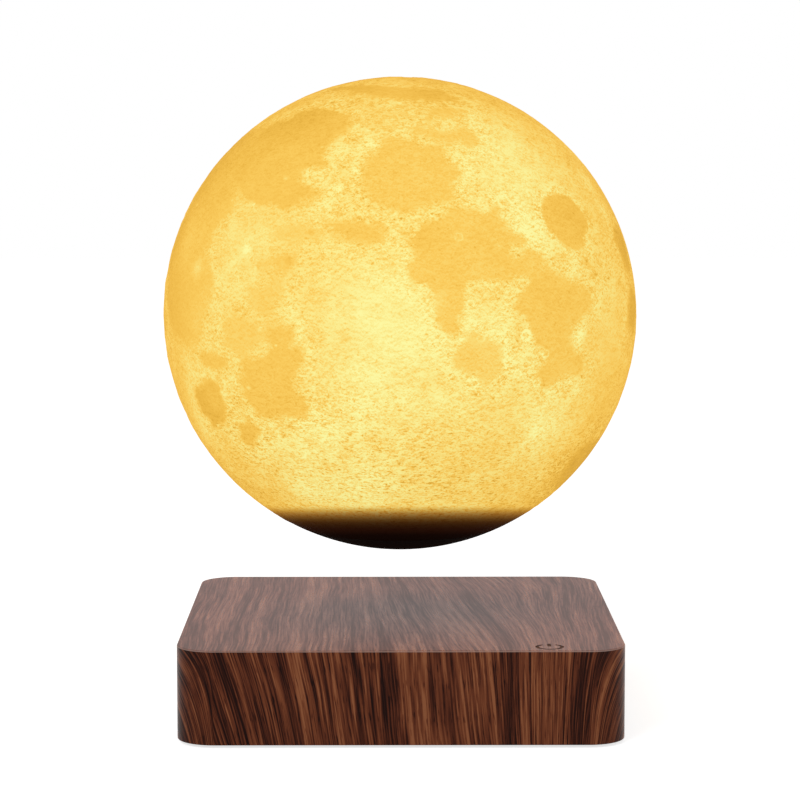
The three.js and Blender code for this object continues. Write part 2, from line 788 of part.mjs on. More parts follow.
function addPowerAndTouch(base) {
  place(base, 'power_jack_housing', jackHousing(), blackPlastic);
  place(base, 'power_jack_pin', jackPin(), nickelPlate);
  place(base, 'transmitter_coil', transmitterCoil(), enamelledCopper);
  place(base, 'touch_electrode', touchElectrode(), copperFoil);
  place(base, 'touch_spring', touchSpring(), nickelPlate);
}

function addGlobe(moon) {
  place(moon, 'moon_shell', moonShell(), printedShell);
  place(moon, 'bottom_plug', bottomPlug(), printedPlug);
  place(moon, 'magnet_carrier', magnetCarrier(), blackPlastic);
  place(moon, 'floating_magnet', disc(floatingMagnetRadius, inCarrier, floatingMagnetTop), nickelPlate);
}

function addReceiver(moon) {
  const parts = receiverPartPlace();
  const board = disc(receiverBoardRadius, receiverBoardBottom, receiverBoardTop);
  const chipTop = onReceiverBoard + rectifierHeight;
  const can = capacitorCan(receiverCapacitorRadius, onReceiverBoard, receiverCapacitorHeight);
  place(moon, 'receiver_coil', receiverCoil(), enamelledCopper);
  place(moon, 'receiver_board', board, greenSolderMask);
  place(moon, 'rectifier_chip', block(rectifierSide, rectifierSide, onReceiverBoard, chipTop, parts, 0),
    blackEpoxy);
  place(moon, 'receiver_capacitor', can.translate(-parts, 0, 0), capacitorSleeve);
}

function addLamp(moon) {
  place(moon, 'lamp_column', lampColumn(), aluminium);
  place(moon, 'lamp_board', lampBoard(), whiteSolderMask);
  place(moon, 'lamp_emitter', disc(emitterRadius, onLampBoard, onLampBoard + emitterThickness), phosphor);
  lampScrewSides().forEach((side, i) => {
    place(moon, `lamp_screw_${i + 1}`, lampScrew(side), zincedSteel);
  });
  place(moon, 'lamp_ribbon', lampRibbon(), greySilicone);
  place(moon, 'diffuser_dome', diffuserDome(), opalPlastic);
}

const lamp = new THREE.Group();
const base = new THREE.Group();
const moon = new THREE.Group();
lamp.add(base, moon);
moon.position.set(0, 0, moonCentre);
for (const add of [addCase, addLifter, addSensors, addControlBoard, addPowerAndTouch]) {
  add(base);
}
for (const add of [addGlobe, addReceiver, addLamp]) {
  add(moon);
}

export default lamp;
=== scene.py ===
"""Dresses the levitating moon lamp: a lit, printed globe over a base that is wrapped in walnut film.

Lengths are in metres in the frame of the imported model: +Z up, the front towards -Y.
"""

import logging
import math
from dataclasses import dataclass
from enum import Enum
from functools import cached_property
from typing import Sequence

import bpy
import numpy as np
from bpy.types import Material, Node, NodeSocket, NodeTree, Object
from mathutils import Euler, Matrix, Vector


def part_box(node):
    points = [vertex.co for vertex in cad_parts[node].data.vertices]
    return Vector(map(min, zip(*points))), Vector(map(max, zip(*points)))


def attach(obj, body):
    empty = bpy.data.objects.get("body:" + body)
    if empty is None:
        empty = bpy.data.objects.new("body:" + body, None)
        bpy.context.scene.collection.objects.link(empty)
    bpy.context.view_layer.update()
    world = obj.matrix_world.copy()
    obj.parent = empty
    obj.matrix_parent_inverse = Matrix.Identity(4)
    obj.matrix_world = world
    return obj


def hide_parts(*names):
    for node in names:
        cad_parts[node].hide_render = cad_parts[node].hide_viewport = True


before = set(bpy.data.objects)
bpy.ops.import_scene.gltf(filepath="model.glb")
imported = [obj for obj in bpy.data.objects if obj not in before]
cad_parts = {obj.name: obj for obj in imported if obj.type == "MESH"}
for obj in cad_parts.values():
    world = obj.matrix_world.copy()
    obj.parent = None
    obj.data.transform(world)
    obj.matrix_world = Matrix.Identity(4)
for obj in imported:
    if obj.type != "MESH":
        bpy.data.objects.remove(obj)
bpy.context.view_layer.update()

MM = 0.001
FULL_TURN = 2 * math.pi
QUARTER_TURN = math.pi / 2

log = logging.getLogger("lamp")

Colour = tuple[float, float, float, float]
Point = tuple[float, float, float]
Pairs = Sequence[tuple[float, float]]
Ramp = tuple[tuple[float, str], ...]
Value = Node | NodeSocket | float | tuple[float, ...]
Inputs = dict[str | int, Value]


class Body(Enum):
    """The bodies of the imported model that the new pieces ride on."""

    BASE = "base"
    MOON = "moon"


def linear(code: str, share: float = 1.0) -> Colour:
    """Turns an sRGB hex colour into the linear colour that the shaders take.

    Args:
        code: Six hex digits.
        share: How much of the colour's light is kept.

    Returns:
        Red, green, blue and an alpha of one.
    """
    channels = [int(code[i:i + 2], 16) / 255 for i in (0, 2, 4)]
    low = 0.04045
    flat = [c / 12.92 if c <= low else ((c + 0.055) / 1.055) ** 2.4 for c in channels]
    return (flat[0] * share, flat[1] * share, flat[2] * share, 1.0)


@dataclass
class Nodes:
    """The nodes of one material or world, all made by add.

    A value is a number, a tuple, a node or a socket, and a node stands for its main output.
    """

    tree: NodeTree

    @cached_property
    def place(self) -> NodeSocket:
        """The point in the piece's own coordinates."""
        return self.add("TexCoord").outputs["Object"]

    def add(self, kind: str, *values: Value | Inputs, ramp: Ramp = (), **settings: object) -> Node:
        """Adds a node, sets its properties and fills its inputs.

        Args:
            kind: The node's type, without the ShaderNode in front.
            *values: The values of its first inputs, or values by the name or number of the input.
            ramp: For a colour ramp, pairs of a place from 0 to 1 and a hex colour.
            **settings: The node's own properties.

        Returns:
            The new node.
        """
        node = self.tree.nodes.new("ShaderNode" + kind)
        for name, value in settings.items():
            setattr(node, name, value)
        for key, value in enumerate(values):
            self.fill(node, value if isinstance(value, dict) else {key: value})
        for i, (place, code) in enumerate(ramp):
            stops = node.color_ramp.elements
            stop = stops[i] if i < 2 else stops.new(place)
            stop.position, stop.color = place, linear(code)
        return node

    def fill(self, node: Node, inputs: Inputs) -> None:
        """Sets the inputs of a node, or links them.

        Args:
            node: The node.
            inputs: Values by the name or number of the input.
        """
        for key, value in inputs.items():
            if isinstance(value, Node):
                mixes_colour = value.bl_idname == "ShaderNodeMix" and value.data_type == "RGBA"
                value = value.outputs[2 if mixes_colour else 0]
            if isinstance(value, NodeSocket):
                self.tree.links.new(value, node.inputs[key])
            else:
                node.inputs[key].default_value = value


def new_object(name: str, vertices: np.ndarray, faces: Sequence[Sequence[int]]) -> Object:
    """Makes a mesh object from points and faces and links it to the scene.

    Args:
        name: The object's name.
        vertices: Points in metres, one row each.
        faces: Corner numbers of each face, anticlockwise from outside.

    Returns:
        The new object.
    """
    mesh = bpy.data.meshes.new(name)
    mesh.from_pydata([tuple(map(float, v)) for v in vertices], [], [tuple(map(int, f)) for f in faces])
    mesh.validate()
    obj = bpy.data.objects.new(name, mesh)
    bpy.context.scene.collection.objects.link(obj)
    return obj


def ring_faces(rings: int, sides: int, first: int = 0) -> np.ndarray:
    """Quads between rings of points that follow one another.

    Args:
        rings: How many rings there are.
        sides: How many points a ring has.
        first: The number of the first point.

    Returns:
        Four corner numbers a face.
    """
    ring, side = np.meshgrid(np.arange(rings - 1), np.arange(sides), indexing="ij")
    after = (side + 1) % sides
    low, high = first + ring * sides, first + (ring + 1) * sides
    return np.stack([low + side, low + after, high + after, high + side], -1).reshape(-1, 4)


def turned(name: str, profile: Pairs, sides: int) -> Object:
    """Revolves a profile that starts and ends on the Z axis.

    Args:
        name: The object's name.
        profile: Radius and height pairs, the underside first. The first and last radius are zero.
        sides: Facets round the axis.

    Returns:
        A closed solid of revolution.
    """
    angles = np.arange(sides) * FULL_TURN / sides
    rings = [np.stack([r * np.cos(angles), r * np.sin(angles), np.full(sides, z)], -1)
             for r, z in profile[1:-1]]
    bottom, top = (0, 0, profile[0][1]), (0, 0, profile[-1][1])
    vertices = np.vstack([*rings, [bottom], [top]])
    south, north = len(vertices) - 2, len(vertices) - 1
    faces = ring_faces(len(rings), sides).tolist()
    last = (len(rings) - 1) * sides
    for i in range(sides):
        j = (i + 1) % sides
        faces.append([south, j, i])
        faces.append([north, last + i, last + j])
    return new_object(name, vertices, faces)


def prism(name: str, outline: Pairs, low: float, high: float) -> Object:
    """Raises a flat outline into a solid.

    Args:
        name: The object's name.
        outline: X and Y of the corners, anticlockwise from above.
        low: Height of the underside.
        high: Height of the top.

    Returns:
        The closed solid.
    """
    count = len(outline)
    vertices = np.array([(x, y, z) for z in (low, high) for x, y in outline])
    sides = [[i, (i + 1) % count, count + (i + 1) % count, count + i] for i in range(count)]
    return new_object(name, vertices, [list(range(count))[::-1], list(range(count, 2 * count)), *sides])


def arc(radius: float, angles: np.ndarray, x: float = 0.0, y: float = 0.0) -> list[tuple[float, float]]:
    """Points round a middle at the given angles."""
    return [(x + radius * math.cos(a), y + radius * math.sin(a)) for a in angles]


def circle(radius: float, sides: int, x: float = 0.0, y: float = 0.0) -> list[tuple[float, float]]:
    """Points of a circle, anticlockwise."""
    return arc(radius, np.arange(sides) * FULL_TURN / sides, x, y)


def join_or_cut(body: Object, tools: Sequence[Object], operation: str) -> None:
    """Joins tools to a body or cuts them out of it, and removes them.

    Args:
        body: The solid that changes.
        tools: Closed solids.
        operation: UNION or DIFFERENCE.
    """
    for tool in tools:
        change = body.modifiers.new(operation, "BOOLEAN")
        change.operation, change.solver, change.object = operation, "EXACT", tool
    graph = bpy.context.evaluated_depsgraph_get()
    made = bpy.data.meshes.new_from_object(body.evaluated_get(graph))
    old = body.data
    body.modifiers.clear()
    body.data = made
    made.name = body.name
    bpy.data.meshes.remove(old)
    for tool in tools:
        bpy.data.objects.remove(tool)


def smooth(obj: Object, sharp_angle: float = math.radians(32)) -> None:
    """Shades a piece smooth. Edges that turn more than the angle stay sharp."""
    obj.data.shade_smooth()
    obj.data.set_sharp_from_angle(angle=sharp_angle)


def put_on(obj: Object, *finishes: "Finish") -> None:
    """Gives a piece its materials, in the order of its faces' material numbers.

    Args:
        obj: The piece. Its faces keep their numbers, which clearing the materials would reset.
        *finishes: The finishes, one for each number.
    """
    numbers = [face.material_index for face in obj.data.polygons]
    obj.data.materials.clear()
    for finish in finishes:
        obj.data.materials.append(finish.material())
    obj.data.polygons.foreach_set("material_index", numbers)


def settle(obj: Object, body: Body, node: str) -> None:
    """Fixes a finished piece to its body and lets it stand for a CAD node.

    Args:
        obj: The piece, in place.
        body: The body that it moves with.
        node: The CAD node that it replaces.
    """
    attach(obj, body.value)
    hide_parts(node)
    log.info("%s: %d faces, rides on %s", obj.name, len(obj.data.polygons), body.value)


@dataclass(frozen=True)
class Finish:
    """What a surface is made of and how it was made. Each kind of finish paints its own nodes."""

    name: str

    def material(self) -> Material:
        """The material, made once and then shared.

        Returns:
            The material.
        """
        made = bpy.data.materials.get(self.name)
        if made is None:
            made = bpy.data.materials.new(self.name)
            made.use_nodes = True
            self.paint(Nodes(made.node_tree), made.node_tree.nodes["Principled BSDF"])
        return made

    def paint(self, nodes: Nodes, surface: Node) -> None:
        """Adds the nodes of this finish.

        Args:
            nodes: The material's nodes.
            surface: Its Principled shader, whose inputs get filled.
        """
        raise NotImplementedError


@dataclass(frozen=True)
class Moulded(Finish):
    """Moulded plastic or rubber: one colour with faint flow marks, and the fine texture of its mould."""

    colour: str
    roughness: float
    ior: float = 1.5
    texture_mm: float = 0.5
    texture_depth_mm: float = 0.02
    flow_mm: float = 9.0
    tint_share: float = 0.82
    spread: float = 0.06

    def paint(self, nodes: Nodes, surface: Node) -> None:
        """Flow marks in the colour and roughness, mould texture in the bump.

        Args:
            nodes: The material's nodes.
            surface: Its Principled shader, whose inputs get filled.
        """
        flow = nodes.add("TexNoise", {"Vector": nodes.place, "Scale": 1 / (self.flow_mm * MM),
                                      "Detail": 3.0})
        grain = nodes.add("TexNoise", {"Vector": nodes.place, "Scale": 1 / (self.texture_mm * MM),
                                       "Detail": 2.0})
        colour = nodes.add("Mix", {0: flow, 6: linear(self.colour, self.tint_share),
                                   7: linear(self.colour)}, data_type="RGBA")
        rough = nodes.add("MapRange", flow, 0.0, 1.0, self.roughness - self.spread,
                          self.roughness + self.spread)
        bump = nodes.add("Bump", {"Height": grain, "Distance": self.texture_depth_mm * MM, "Strength": 0.6})
        nodes.fill(surface, {"Base Color": colour, "Roughness": rough, "Normal": bump, "IOR": self.ior})


@dataclass(frozen=True)
class Metal(Finish):
    """Bare or plated metal with the fine lines that turning, drawing or plating leaves."""

    colour: str
    roughness: float
    line_mm: float = 0.35
    line_depth_mm: float = 0.004
    cloud_mm: float = 6.0
    cloud_share: float = 0.8
    turned_lines: bool = True

    def paint(self, nodes: Nodes, surface: Node) -> None:
        """Turning lines are level rings, and other marks are a fine grain.

        Args:
            nodes: The material's nodes.
            surface: Its Principled shader, whose inputs get filled.
        """
        height = 1 / (self.line_mm * MM)
        level = height * 0.02 if self.turned_lines else height
        lines = nodes.add("VectorMath", nodes.place, (level, level, height), operation="MULTIPLY")
        marks = nodes.add("TexNoise", {"Vector": lines, "Scale": 1.0, "Detail": 3.0})
        cloud = nodes.add("TexNoise", {"Vector": nodes.place, "Scale": 1 / (self.cloud_mm * MM),
                                       "Detail": 2.0})
        colour = nodes.add("Mix", {0: cloud, 6: linear(self.colour, self.cloud_share),
                                   7: linear(self.colour)}, data_type="RGBA")
        rough = nodes.add("MapRange", marks, 0.0, 1.0, self.roughness * 0.8, self.roughness * 1.3)
        bump = nodes.add("Bump", {"Height": marks, "Distance": self.line_depth_mm * MM, "Strength": 0.5})
        nodes.fill(surface, {"Base Color": colour, "Roughness": rough, "Normal": bump, "Metallic": 1.0})


@dataclass(frozen=True)
class Wound(Finish):
    """Enamelled copper wire, wound turn on turn: level turns on a spool, or rings in a flat coil."""

    colour: str
    shadow: str
    wire_mm: float
    flat_coil: bool = False

    def paint(self, nodes: Nodes, surface: Node) -> None:
        """Each turn is bright on its crown and dark in the groove beside the next turn.

        Args:
            nodes: The material's nodes.
            surface: Its Principled shader, whose inputs get filled.
        """
        if self.flat_coil:
            level = nodes.add("VectorMath", nodes.place, (1.0, 1.0, 0.0), operation="MULTIPLY")
            across = nodes.add("VectorMath", level, operation="LENGTH").outputs["Value"]
        else:
            across = nodes.add("SeparateXYZ", nodes.place).outputs["Z"]
        turns = nodes.add("Math", across, FULL_TURN / (self.wire_mm * MM), operation="MULTIPLY")
        crown = nodes.add("MapRange", nodes.add("Math", turns, operation="SINE"), -1.0, 1.0)
        colour = nodes.add("Mix", {0: crown, 6: linear(self.shadow), 7: linear(self.colour)},
                           data_type="RGBA")
        bump = nodes.add("Bump", {"Height": crown, "Distance": self.wire_mm / 4 * MM, "Strength": 0.8})
        nodes.fill(surface, {"Base Color": colour, "Normal": bump, "Metallic": 1.0, "Roughness": 0.3,
                             "Coat Weight": 0.6, "Coat Roughness": 0.15})


@dataclass(frozen=True)
class SolderMask(Finish):
    """Glass-epoxy board under solder mask: tracks show as slightly raised, lighter paths."""

    colour: str
    track: str
    track_mm: float = 1.3
    track_height_mm: float = 0.035

    def paint(self, nodes: Nodes, surface: Node) -> None:
        """Tracks follow the cell borders of a square-metric pattern, as routed tracks do.

        Args:
            nodes: The material's nodes.
            surface: Its Principled shader, whose inputs get filled.
        """
        cells = nodes.add("TexVoronoi", {"Vector": nodes.place, "Scale": 1 / (6 * self.track_mm * MM)},
                          distance="MANHATTAN", feature="DISTANCE_TO_EDGE")
        path = nodes.add("MapRange", cells, 0.05, 0.09, interpolation_type="SMOOTHSTEP")
        colour = nodes.add("Mix", {0: path, 6: linear(self.track), 7: linear(self.colour)},
                           data_type="RGBA")
        bump = nodes.add("Bump", {"Height": path, "Distance": self.track_height_mm * MM, "Strength": 0.5},
                         invert=True)
        nodes.fill(surface, {"Base Color": colour, "Normal": bump, "Roughness": 0.35})


@dataclass(frozen=True)
class Sintered(Finish):
    """Pressed and fired ferrite: charcoal with a fine bright fleck, slightly rough from grinding."""

    colour: str
    fleck: str
    grit_mm: float = 0.4
    grit_depth_mm: float = 0.03

    def paint(self, nodes: Nodes, surface: Node) -> None:
        """Flecks are the peaks of a fine noise.

        Args:
            nodes: The material's nodes.
            surface: Its Principled shader, whose inputs get filled.
        """
        grit = nodes.add("TexNoise", {"Vector": nodes.place, "Scale": 1 / (self.grit_mm * MM),
                                      "Detail": 4.0})
        fleck = nodes.add("MapRange", grit, 0.5, 0.72)
        colour = nodes.add("Mix", {0: fleck, 6: linear(self.colour), 7: linear(self.fleck)},
                           data_type="RGBA")
        bump = nodes.add("Bump", {"Height": grit, "Distance": self.grit_depth_mm * MM, "Strength": 0.5})
        nodes.fill(surface, {"Base Color": colour, "Normal": bump, "Roughness": 0.6})


@dataclass(frozen=True)
class Phosphor(Finish):
    """Silicone over light-emitting chips, filled with yellow phosphor: it glows when the lamp is on."""

    colour: str
    glow: str
    grain_mm: float = 0.4

    def paint(self, nodes: Nodes, surface: Node) -> None:
        """The phosphor grains show in the colour and in the light.

        Args:
            nodes: The material's nodes.
            surface: Its Principled shader, whose inputs get filled.
        """
        grain = nodes.add("TexNoise", {"Vector": nodes.place, "Scale": 1 / (self.grain_mm * MM),
                                       "Detail": 2.0})
        colour = nodes.add("Mix", {0: grain, 6: linear(self.colour), 7: linear(self.glow)},
                           data_type="RGBA")
        nodes.fill(surface, {"Base Color": colour, "Emission Color": colour, "Emission Strength": 1.0,
                             "Roughness": 0.45})


@dataclass(frozen=True)
class Streaks:
    """Streaks of one width in the walnut grain."""

    width_mm: float
    length_mm: float
    weight: float
    layer: float
    detail: float = 2.0


@dataclass(frozen=True)
class Bend:
    """A slope that grows from one value to another between two places across the film."""

    start_mm: float
    end_mm: float
    first: float
    last: float


@dataclass(frozen=True)
class WalnutFilm(Finish):
    """PVC film with a printed walnut grain, drawn over the case by vacuum.

    The film is one sheet. It runs over the edges of the roof and down the sides, so that its grain turns
    round the corners at a slant. It is satin: dark and clear from the front, hazy where it is seen flat.
    """

    inner_half: float
    roof_height: float
    roughness: float = 0.30
    ior: float = 1.135
    streaks: tuple[Streaks, ...] = (
        Streaks(12.0, 216.0, 1.2, 0.0), Streaks(2.6, 90.0, 1.44, 3.7), Streaks(1.1, 54.0, 1.44, 7.4),
        Streaks(0.5, 18.0, 1.584, 11.1, detail=1.0))
    pores: Streaks = Streaks(0.38, 5.0, -0.35, 31.0, detail=1.0)
    wave_mm: float = 70.0
    wave_height_mm: float = 4.8
    wave_layer: float = 1.3
    turns: tuple[Bend, ...] = (Bend(-20, 20, 0.0, 0.123), Bend(28, 55, 0.0, -0.16))
    leans: tuple[Bend, ...] = (Bend(-50, 5, 0.33, 0.0), Bend(30, 58, 0.0, -0.10))
    grain_depth_mm: float = 0.02
    edge_mm: float = 0.4
    edge_highlight_share: float = 0.9
    edge_highlight_colour: str = "A88F87"
    painted_roof_light: str = "582F20"
    palette: Ramp = (
        (0.0, "190806"), (0.16, "2A110A"), (0.34, "401D12"), (0.52, "572B1B"), (0.70, "693823"),
        (0.86, "78442B"), (1.0, "8A5538"))

    def paint(self, nodes: Nodes, surface: Node) -> None:
        """Grain of four widths along the film, dark pores, painted light that makes the roof paler, and a
        painted highlight along the roof's edge.

        Args:
            nodes: The material's nodes.
            surface: Its Principled shader, whose inputs get filled.
        """
        across, along, depth = self.unrolled(nodes)
        across = self.waved(nodes, across, along, depth)
        value: Value = 0.5
        for streaks in self.streaks:
            centred = nodes.add("Math", self.stretched(nodes, across, along, streaks), 0.5,
                                operation="SUBTRACT")
            value = nodes.add("Math", centred, streaks.weight, value, operation="MULTIPLY_ADD")
        pores = nodes.add("MapRange", self.stretched(nodes, across, along, self.pores), 0.60, 0.70)
        value = nodes.add("Math", pores, self.pores.weight, value, operation="MULTIPLY_ADD")
        grain = nodes.add("ValToRGB", value, ramp=self.palette)
        edge = (0.0, self.edge_mm * MM)
        # Painted light: the roof's film is made paler and redder than the sides, fading out over the edge's
        # rounding
        roof = nodes.add("MapRange", depth, *edge, 1.0, 0.0)
        colour = nodes.add("Mix", {0: roof, 6: grain, 7: linear(self.painted_roof_light)}, data_type="RGBA",
                           blend_type="ADD")
        # Painted highlight: a pale band along the rounded top edge, strongest halfway down its rounding
        off = nodes.add("Math", nodes.add("MapRange", depth, *edge, 1.0, -1.0), operation="ABSOLUTE")
        thin = nodes.add("MapRange", off, 0.0, 1.0, self.edge_highlight_share, 0.0)
        colour = nodes.add("Mix", {0: thin, 6: colour, 7: linear(self.edge_highlight_colour)}, data_type="RGBA")
        rough = nodes.add("MapRange", value, 0.0, 1.0, self.roughness + 0.04, self.roughness - 0.03)
        bump = nodes.add("Bump", {"Height": value, "Distance": self.grain_depth_mm * MM, "Strength": 0.3})
        nodes.fill(surface, {"Base Color": colour, "Roughness": rough, "Normal": bump, "IOR": self.ior})

    def stretched(self, nodes: Nodes, across: Value, along: Value, streaks: Streaks) -> Node:
        """Noise that is drawn out along the grain.

        Args:
            nodes: The material's nodes.
            across: The place across the grain.
            along: The place along the grain.
            streaks: The size of the streaks and their layer, so that no two layers are alike.

        Returns:
            The noise.
        """
        place = nodes.add("CombineXYZ", {
            0: nodes.add("Math", across, streaks.width_mm * MM, operation="DIVIDE"),
            1: nodes.add("Math", along, streaks.length_mm * MM, operation="DIVIDE"),
            2: streaks.layer})
        return nodes.add("TexNoise", {"Vector": place, "Scale": 1.0, "Detail": streaks.detail})

    def unrolled(self, nodes: Nodes) -> tuple[NodeSocket, NodeSocket, Node]:
        """Where a point lies on the flat film before it is drawn over the case.

        Args:
            nodes: The material's nodes.

        Returns:
            The place across the grain, the place along it, and the depth below the roof.
        """
        half = self.inner_half
        raised = nodes.add("VectorMath", nodes.place, (-half, -half, 0.0), operation="MAXIMUM")
        middle = nodes.add("VectorMath", raised, (half, half, 0.0), operation="MINIMUM")
        flat = nodes.add("VectorMath", nodes.place, (1.0, 1.0, 0.0), operation="MULTIPLY")
        outward = nodes.add("VectorMath", nodes.add("VectorMath", flat, middle, operation="SUBTRACT"),
                            operation="NORMALIZE")
        depth = nodes.add("Math", self.roof_height, nodes.add("SeparateXYZ", nodes.place).outputs["Z"],
                          operation="SUBTRACT")
        drawn = nodes.add("VectorMath", {0: outward, "Scale": depth}, operation="SCALE")
        parts = nodes.add("SeparateXYZ", {0: nodes.add("VectorMath", flat, drawn, operation="ADD")})
        return parts.outputs["X"], parts.outputs["Y"], depth

    def waved(self, nodes: Nodes, across: Value, along: Value, depth: Value) -> Node:
        """Bends the straight grain: slow waves, a turn in the right half, and a lean on the sides.

        Args:
            nodes: The material's nodes.
            across: The place across the grain.
            along: The place along the grain.
            depth: The depth below the roof.

        Returns:
            The bent place across the grain.
        """
        slow = Streaks(self.wave_mm, self.wave_mm, self.wave_height_mm * MM, self.wave_layer)
        wave = nodes.add("Math", self.stretched(nodes, across, along, slow), 0.5, operation="SUBTRACT")
        bent = nodes.add("Math", wave, slow.weight, across, operation="MULTIPLY_ADD")
        bent = nodes.add("Math", self.slope(nodes, across, self.turns), along, bent,
                         operation="MULTIPLY_ADD")
        slant = nodes.add("Math", self.slope(nodes, across, self.leans), depth, operation="MULTIPLY")
        return nodes.add("Math", bent, slant, operation="SUBTRACT")

    def slope(self, nodes: Nodes, across: Value, bends: Sequence[Bend]) -> Value:
        """Adds up bends at a place across the film.

        Args:
            nodes: The material's nodes.
            across: The place.
            bends: The bends.

        Returns:
            The slope there.
        """
        total: Value = 0.0
        for bend in bends:
            part = nodes.add("MapRange", across, bend.start_mm * MM, bend.end_mm * MM, bend.first,
                             bend.last)
            total = nodes.add("Math", total, part, operation="ADD")
        return total


@dataclass(frozen=True)
class Spot:
    """A small crater on the print: a round spot or a ring, lighter or darker than what is round it."""

    place: Point
    radius: float
    lighter: float
    ring: bool


@dataclass(frozen=True)
class LitPrint(Finish):
    """White PLA, printed as a thin shell and lit from inside by a warm lamp.

    Where the print is thin the light is cream, and where it is thick the light is golden. The seas are the
    thick, even parts. Near the bottom the black magnet carrier keeps the light off, and the glow dies away.
    """

    centre_height: float
    spots: tuple[Spot, ...] = ()
    spot_wander_mm: float = 1.6
    ring_share: float = 0.45
    shore_mm: float = 9.0
    shore_degrees: float = 9.0
    coast_lighter: float = 0.03
    coast_rougher: float = 0.6
    sea_rough_share: float = 0.62
    patch_mm: float = 9.0
    patch_weight: float = 0.34
    cloud_mm: float = 3.0
    cloud_weight: float = 0.30
    grain_mm: float = 0.6
    grain_weight: float = 0.44
    ridge_mm: float = 1.5
    ridge_light_step_mm: float = 0.4
    ridge_shading_weight: float = 1.3
    pit_mm: float = 3.4
    pit_weight: float = 0.12
    wide_pit_weight: float = 0.08
    speck_mm: float = 1.1
    speck_weight: float = -0.24
    thin_weight: float = 0.16
    layer_length_mm: float = 2.2
    layer_height_mm: float = 0.7
    layer_weight: float = 0.5
    stroke_weight: float = -0.60
    rim_weight: float = 0.09
    brightest_detail: float = 0.11
    relief_mm: float = 0.2
    glow: float = 0.86
    skin_share: float = 0.16
    palette: Ramp = (
        (0.0, "DAA63B"), (0.17, "E8B342"), (0.33, "F3BF4E"), (0.5, "FBCC5D"), (0.67, "FCDB75"),
        (0.83, "FCEA8C"), (1.0, "FEF8A2"))
    shade_rise: float = 0.1417
    shade: Ramp = (
        (-74.7, "030101"), (-70.8, "0F0505"), (-68.9, "251316"), (-67.9, "302021"), (-66.9, "422F2A"),
        (-66.0, "5C493F"), (-65.0, "836E66"), (-64.05, "AB968A"), (-63.1, "D6C8B1"), (-62.1, "F9F6F5"),
        (-61.3, "FFFFFF"))

    def paint(self, nodes: Nodes, surface: Node) -> None:
        """One brightness drives the light's colour, and the height above the carrier its shade.

        Args:
            nodes: The material's nodes.
            surface: Its Principled shader, whose inputs get filled.
        """
        level = self.brightness(nodes)
        lit = nodes.add("ValToRGB", level, ramp=self.palette)
        glow = nodes.add("Mix", {0: 1.0, 6: lit, 7: self.bottom_shade(nodes)}, data_type="RGBA",
                         blend_type="MULTIPLY")
        # The print's colour follows the light's colour, and the carrier's painted shadow darkens it towards
        # the bottom
        skin = nodes.add("Mix", {0: 1.0, 6: glow, 7: (self.skin_share,) * 3 + (1.0,)}, data_type="RGBA",
                         blend_type="MULTIPLY")
        bump = nodes.add("Bump", {"Height": level, "Distance": self.relief_mm * MM, "Strength": 0.5})
        nodes.fill(surface, {"Base Color": skin, "Emission Color": glow, "Emission Strength": self.glow,
                             "Roughness": 0.85, "Specular IOR Level": 0.04, "Normal": bump})

    def bottom_shade(self, nodes: Nodes) -> Node:
        """The shadow of the magnet carrier, by height. It reaches a little higher at the front.

        Args:
            nodes: The material's nodes.

        Returns:
            A colour that the light is multiplied by.
        """
        low, high = self.shade[0][0], self.shade[-1][0]
        parts = nodes.add("SeparateXYZ", nodes.place)
        height = nodes.add("Math", parts.outputs["Y"], self.shade_rise, parts.outputs["Z"],
                           operation="MULTIPLY_ADD")
        share = nodes.add("MapRange", height, self.centre_height + low * MM, self.centre_height + high * MM)
        stops = tuple(((z - low) / (high - low), code) for z, code in self.shade)
        return nodes.add("ValToRGB", share, ramp=stops)

    def brightness(self, nodes: Nodes) -> Node:
        """How much light comes through, from 0 to 1.

        Args:
            nodes: The material's nodes.

        Returns:
            The node whose output is the brightness.
        """
        sea, sea_level, land_level, rim, roughness = (
            nodes.add("Attribute", attribute_name=name).outputs["Fac"]
            for name in ("sea", "sea_level", "land_level", "rim", "roughness"))
        shore = nodes.add("TexNoise", {"Vector": nodes.place, "Scale": 1 / (self.shore_mm * MM),
                                       "Detail": 7.0, "Roughness": 0.71})
        ragged = nodes.add("Math", shore, self.shore_degrees, sea, operation="MULTIPLY_ADD")
        border = self.shore_degrees / 2
        mask = nodes.add("MapRange", ragged, border - 1.0, border + 1.2, interpolation_type="SMOOTHSTEP")
        coast = nodes.add("MapRange", ragged, border - 6, border - 1.5)
        inland = nodes.add("MapRange", mask, 0.0, 1.0, 1.0, 0.0)
        ridges = nodes.add("Math", coast, inland, operation="MULTIPLY")
        even = nodes.add("MapRange", mask, 0.0, 1.0, 1.0, self.sea_rough_share)
        rough_share = nodes.add("Math", ridges, self.coast_rougher, even, operation="MULTIPLY_ADD")
        rough_share = nodes.add("Math", rough_share, roughness, operation="MULTIPLY")
        level = nodes.add("Mix", {0: mask, 2: land_level, 3: sea_level}, data_type="FLOAT")
        level = nodes.add("Math", ridges, self.coast_lighter, level, operation="MULTIPLY_ADD")
        patches = nodes.add("Math", self.centred(nodes, nodes.place, self.patch_mm, 3.0), even,
                            operation="MULTIPLY")
        level = nodes.add("Math", patches, self.patch_weight, level, operation="MULTIPLY_ADD")
        level = nodes.add("Math", self.detail(nodes, rim), rough_share, level, operation="MULTIPLY_ADD")
        return nodes.add("Math", level, self.small_craters(nodes), operation="ADD")

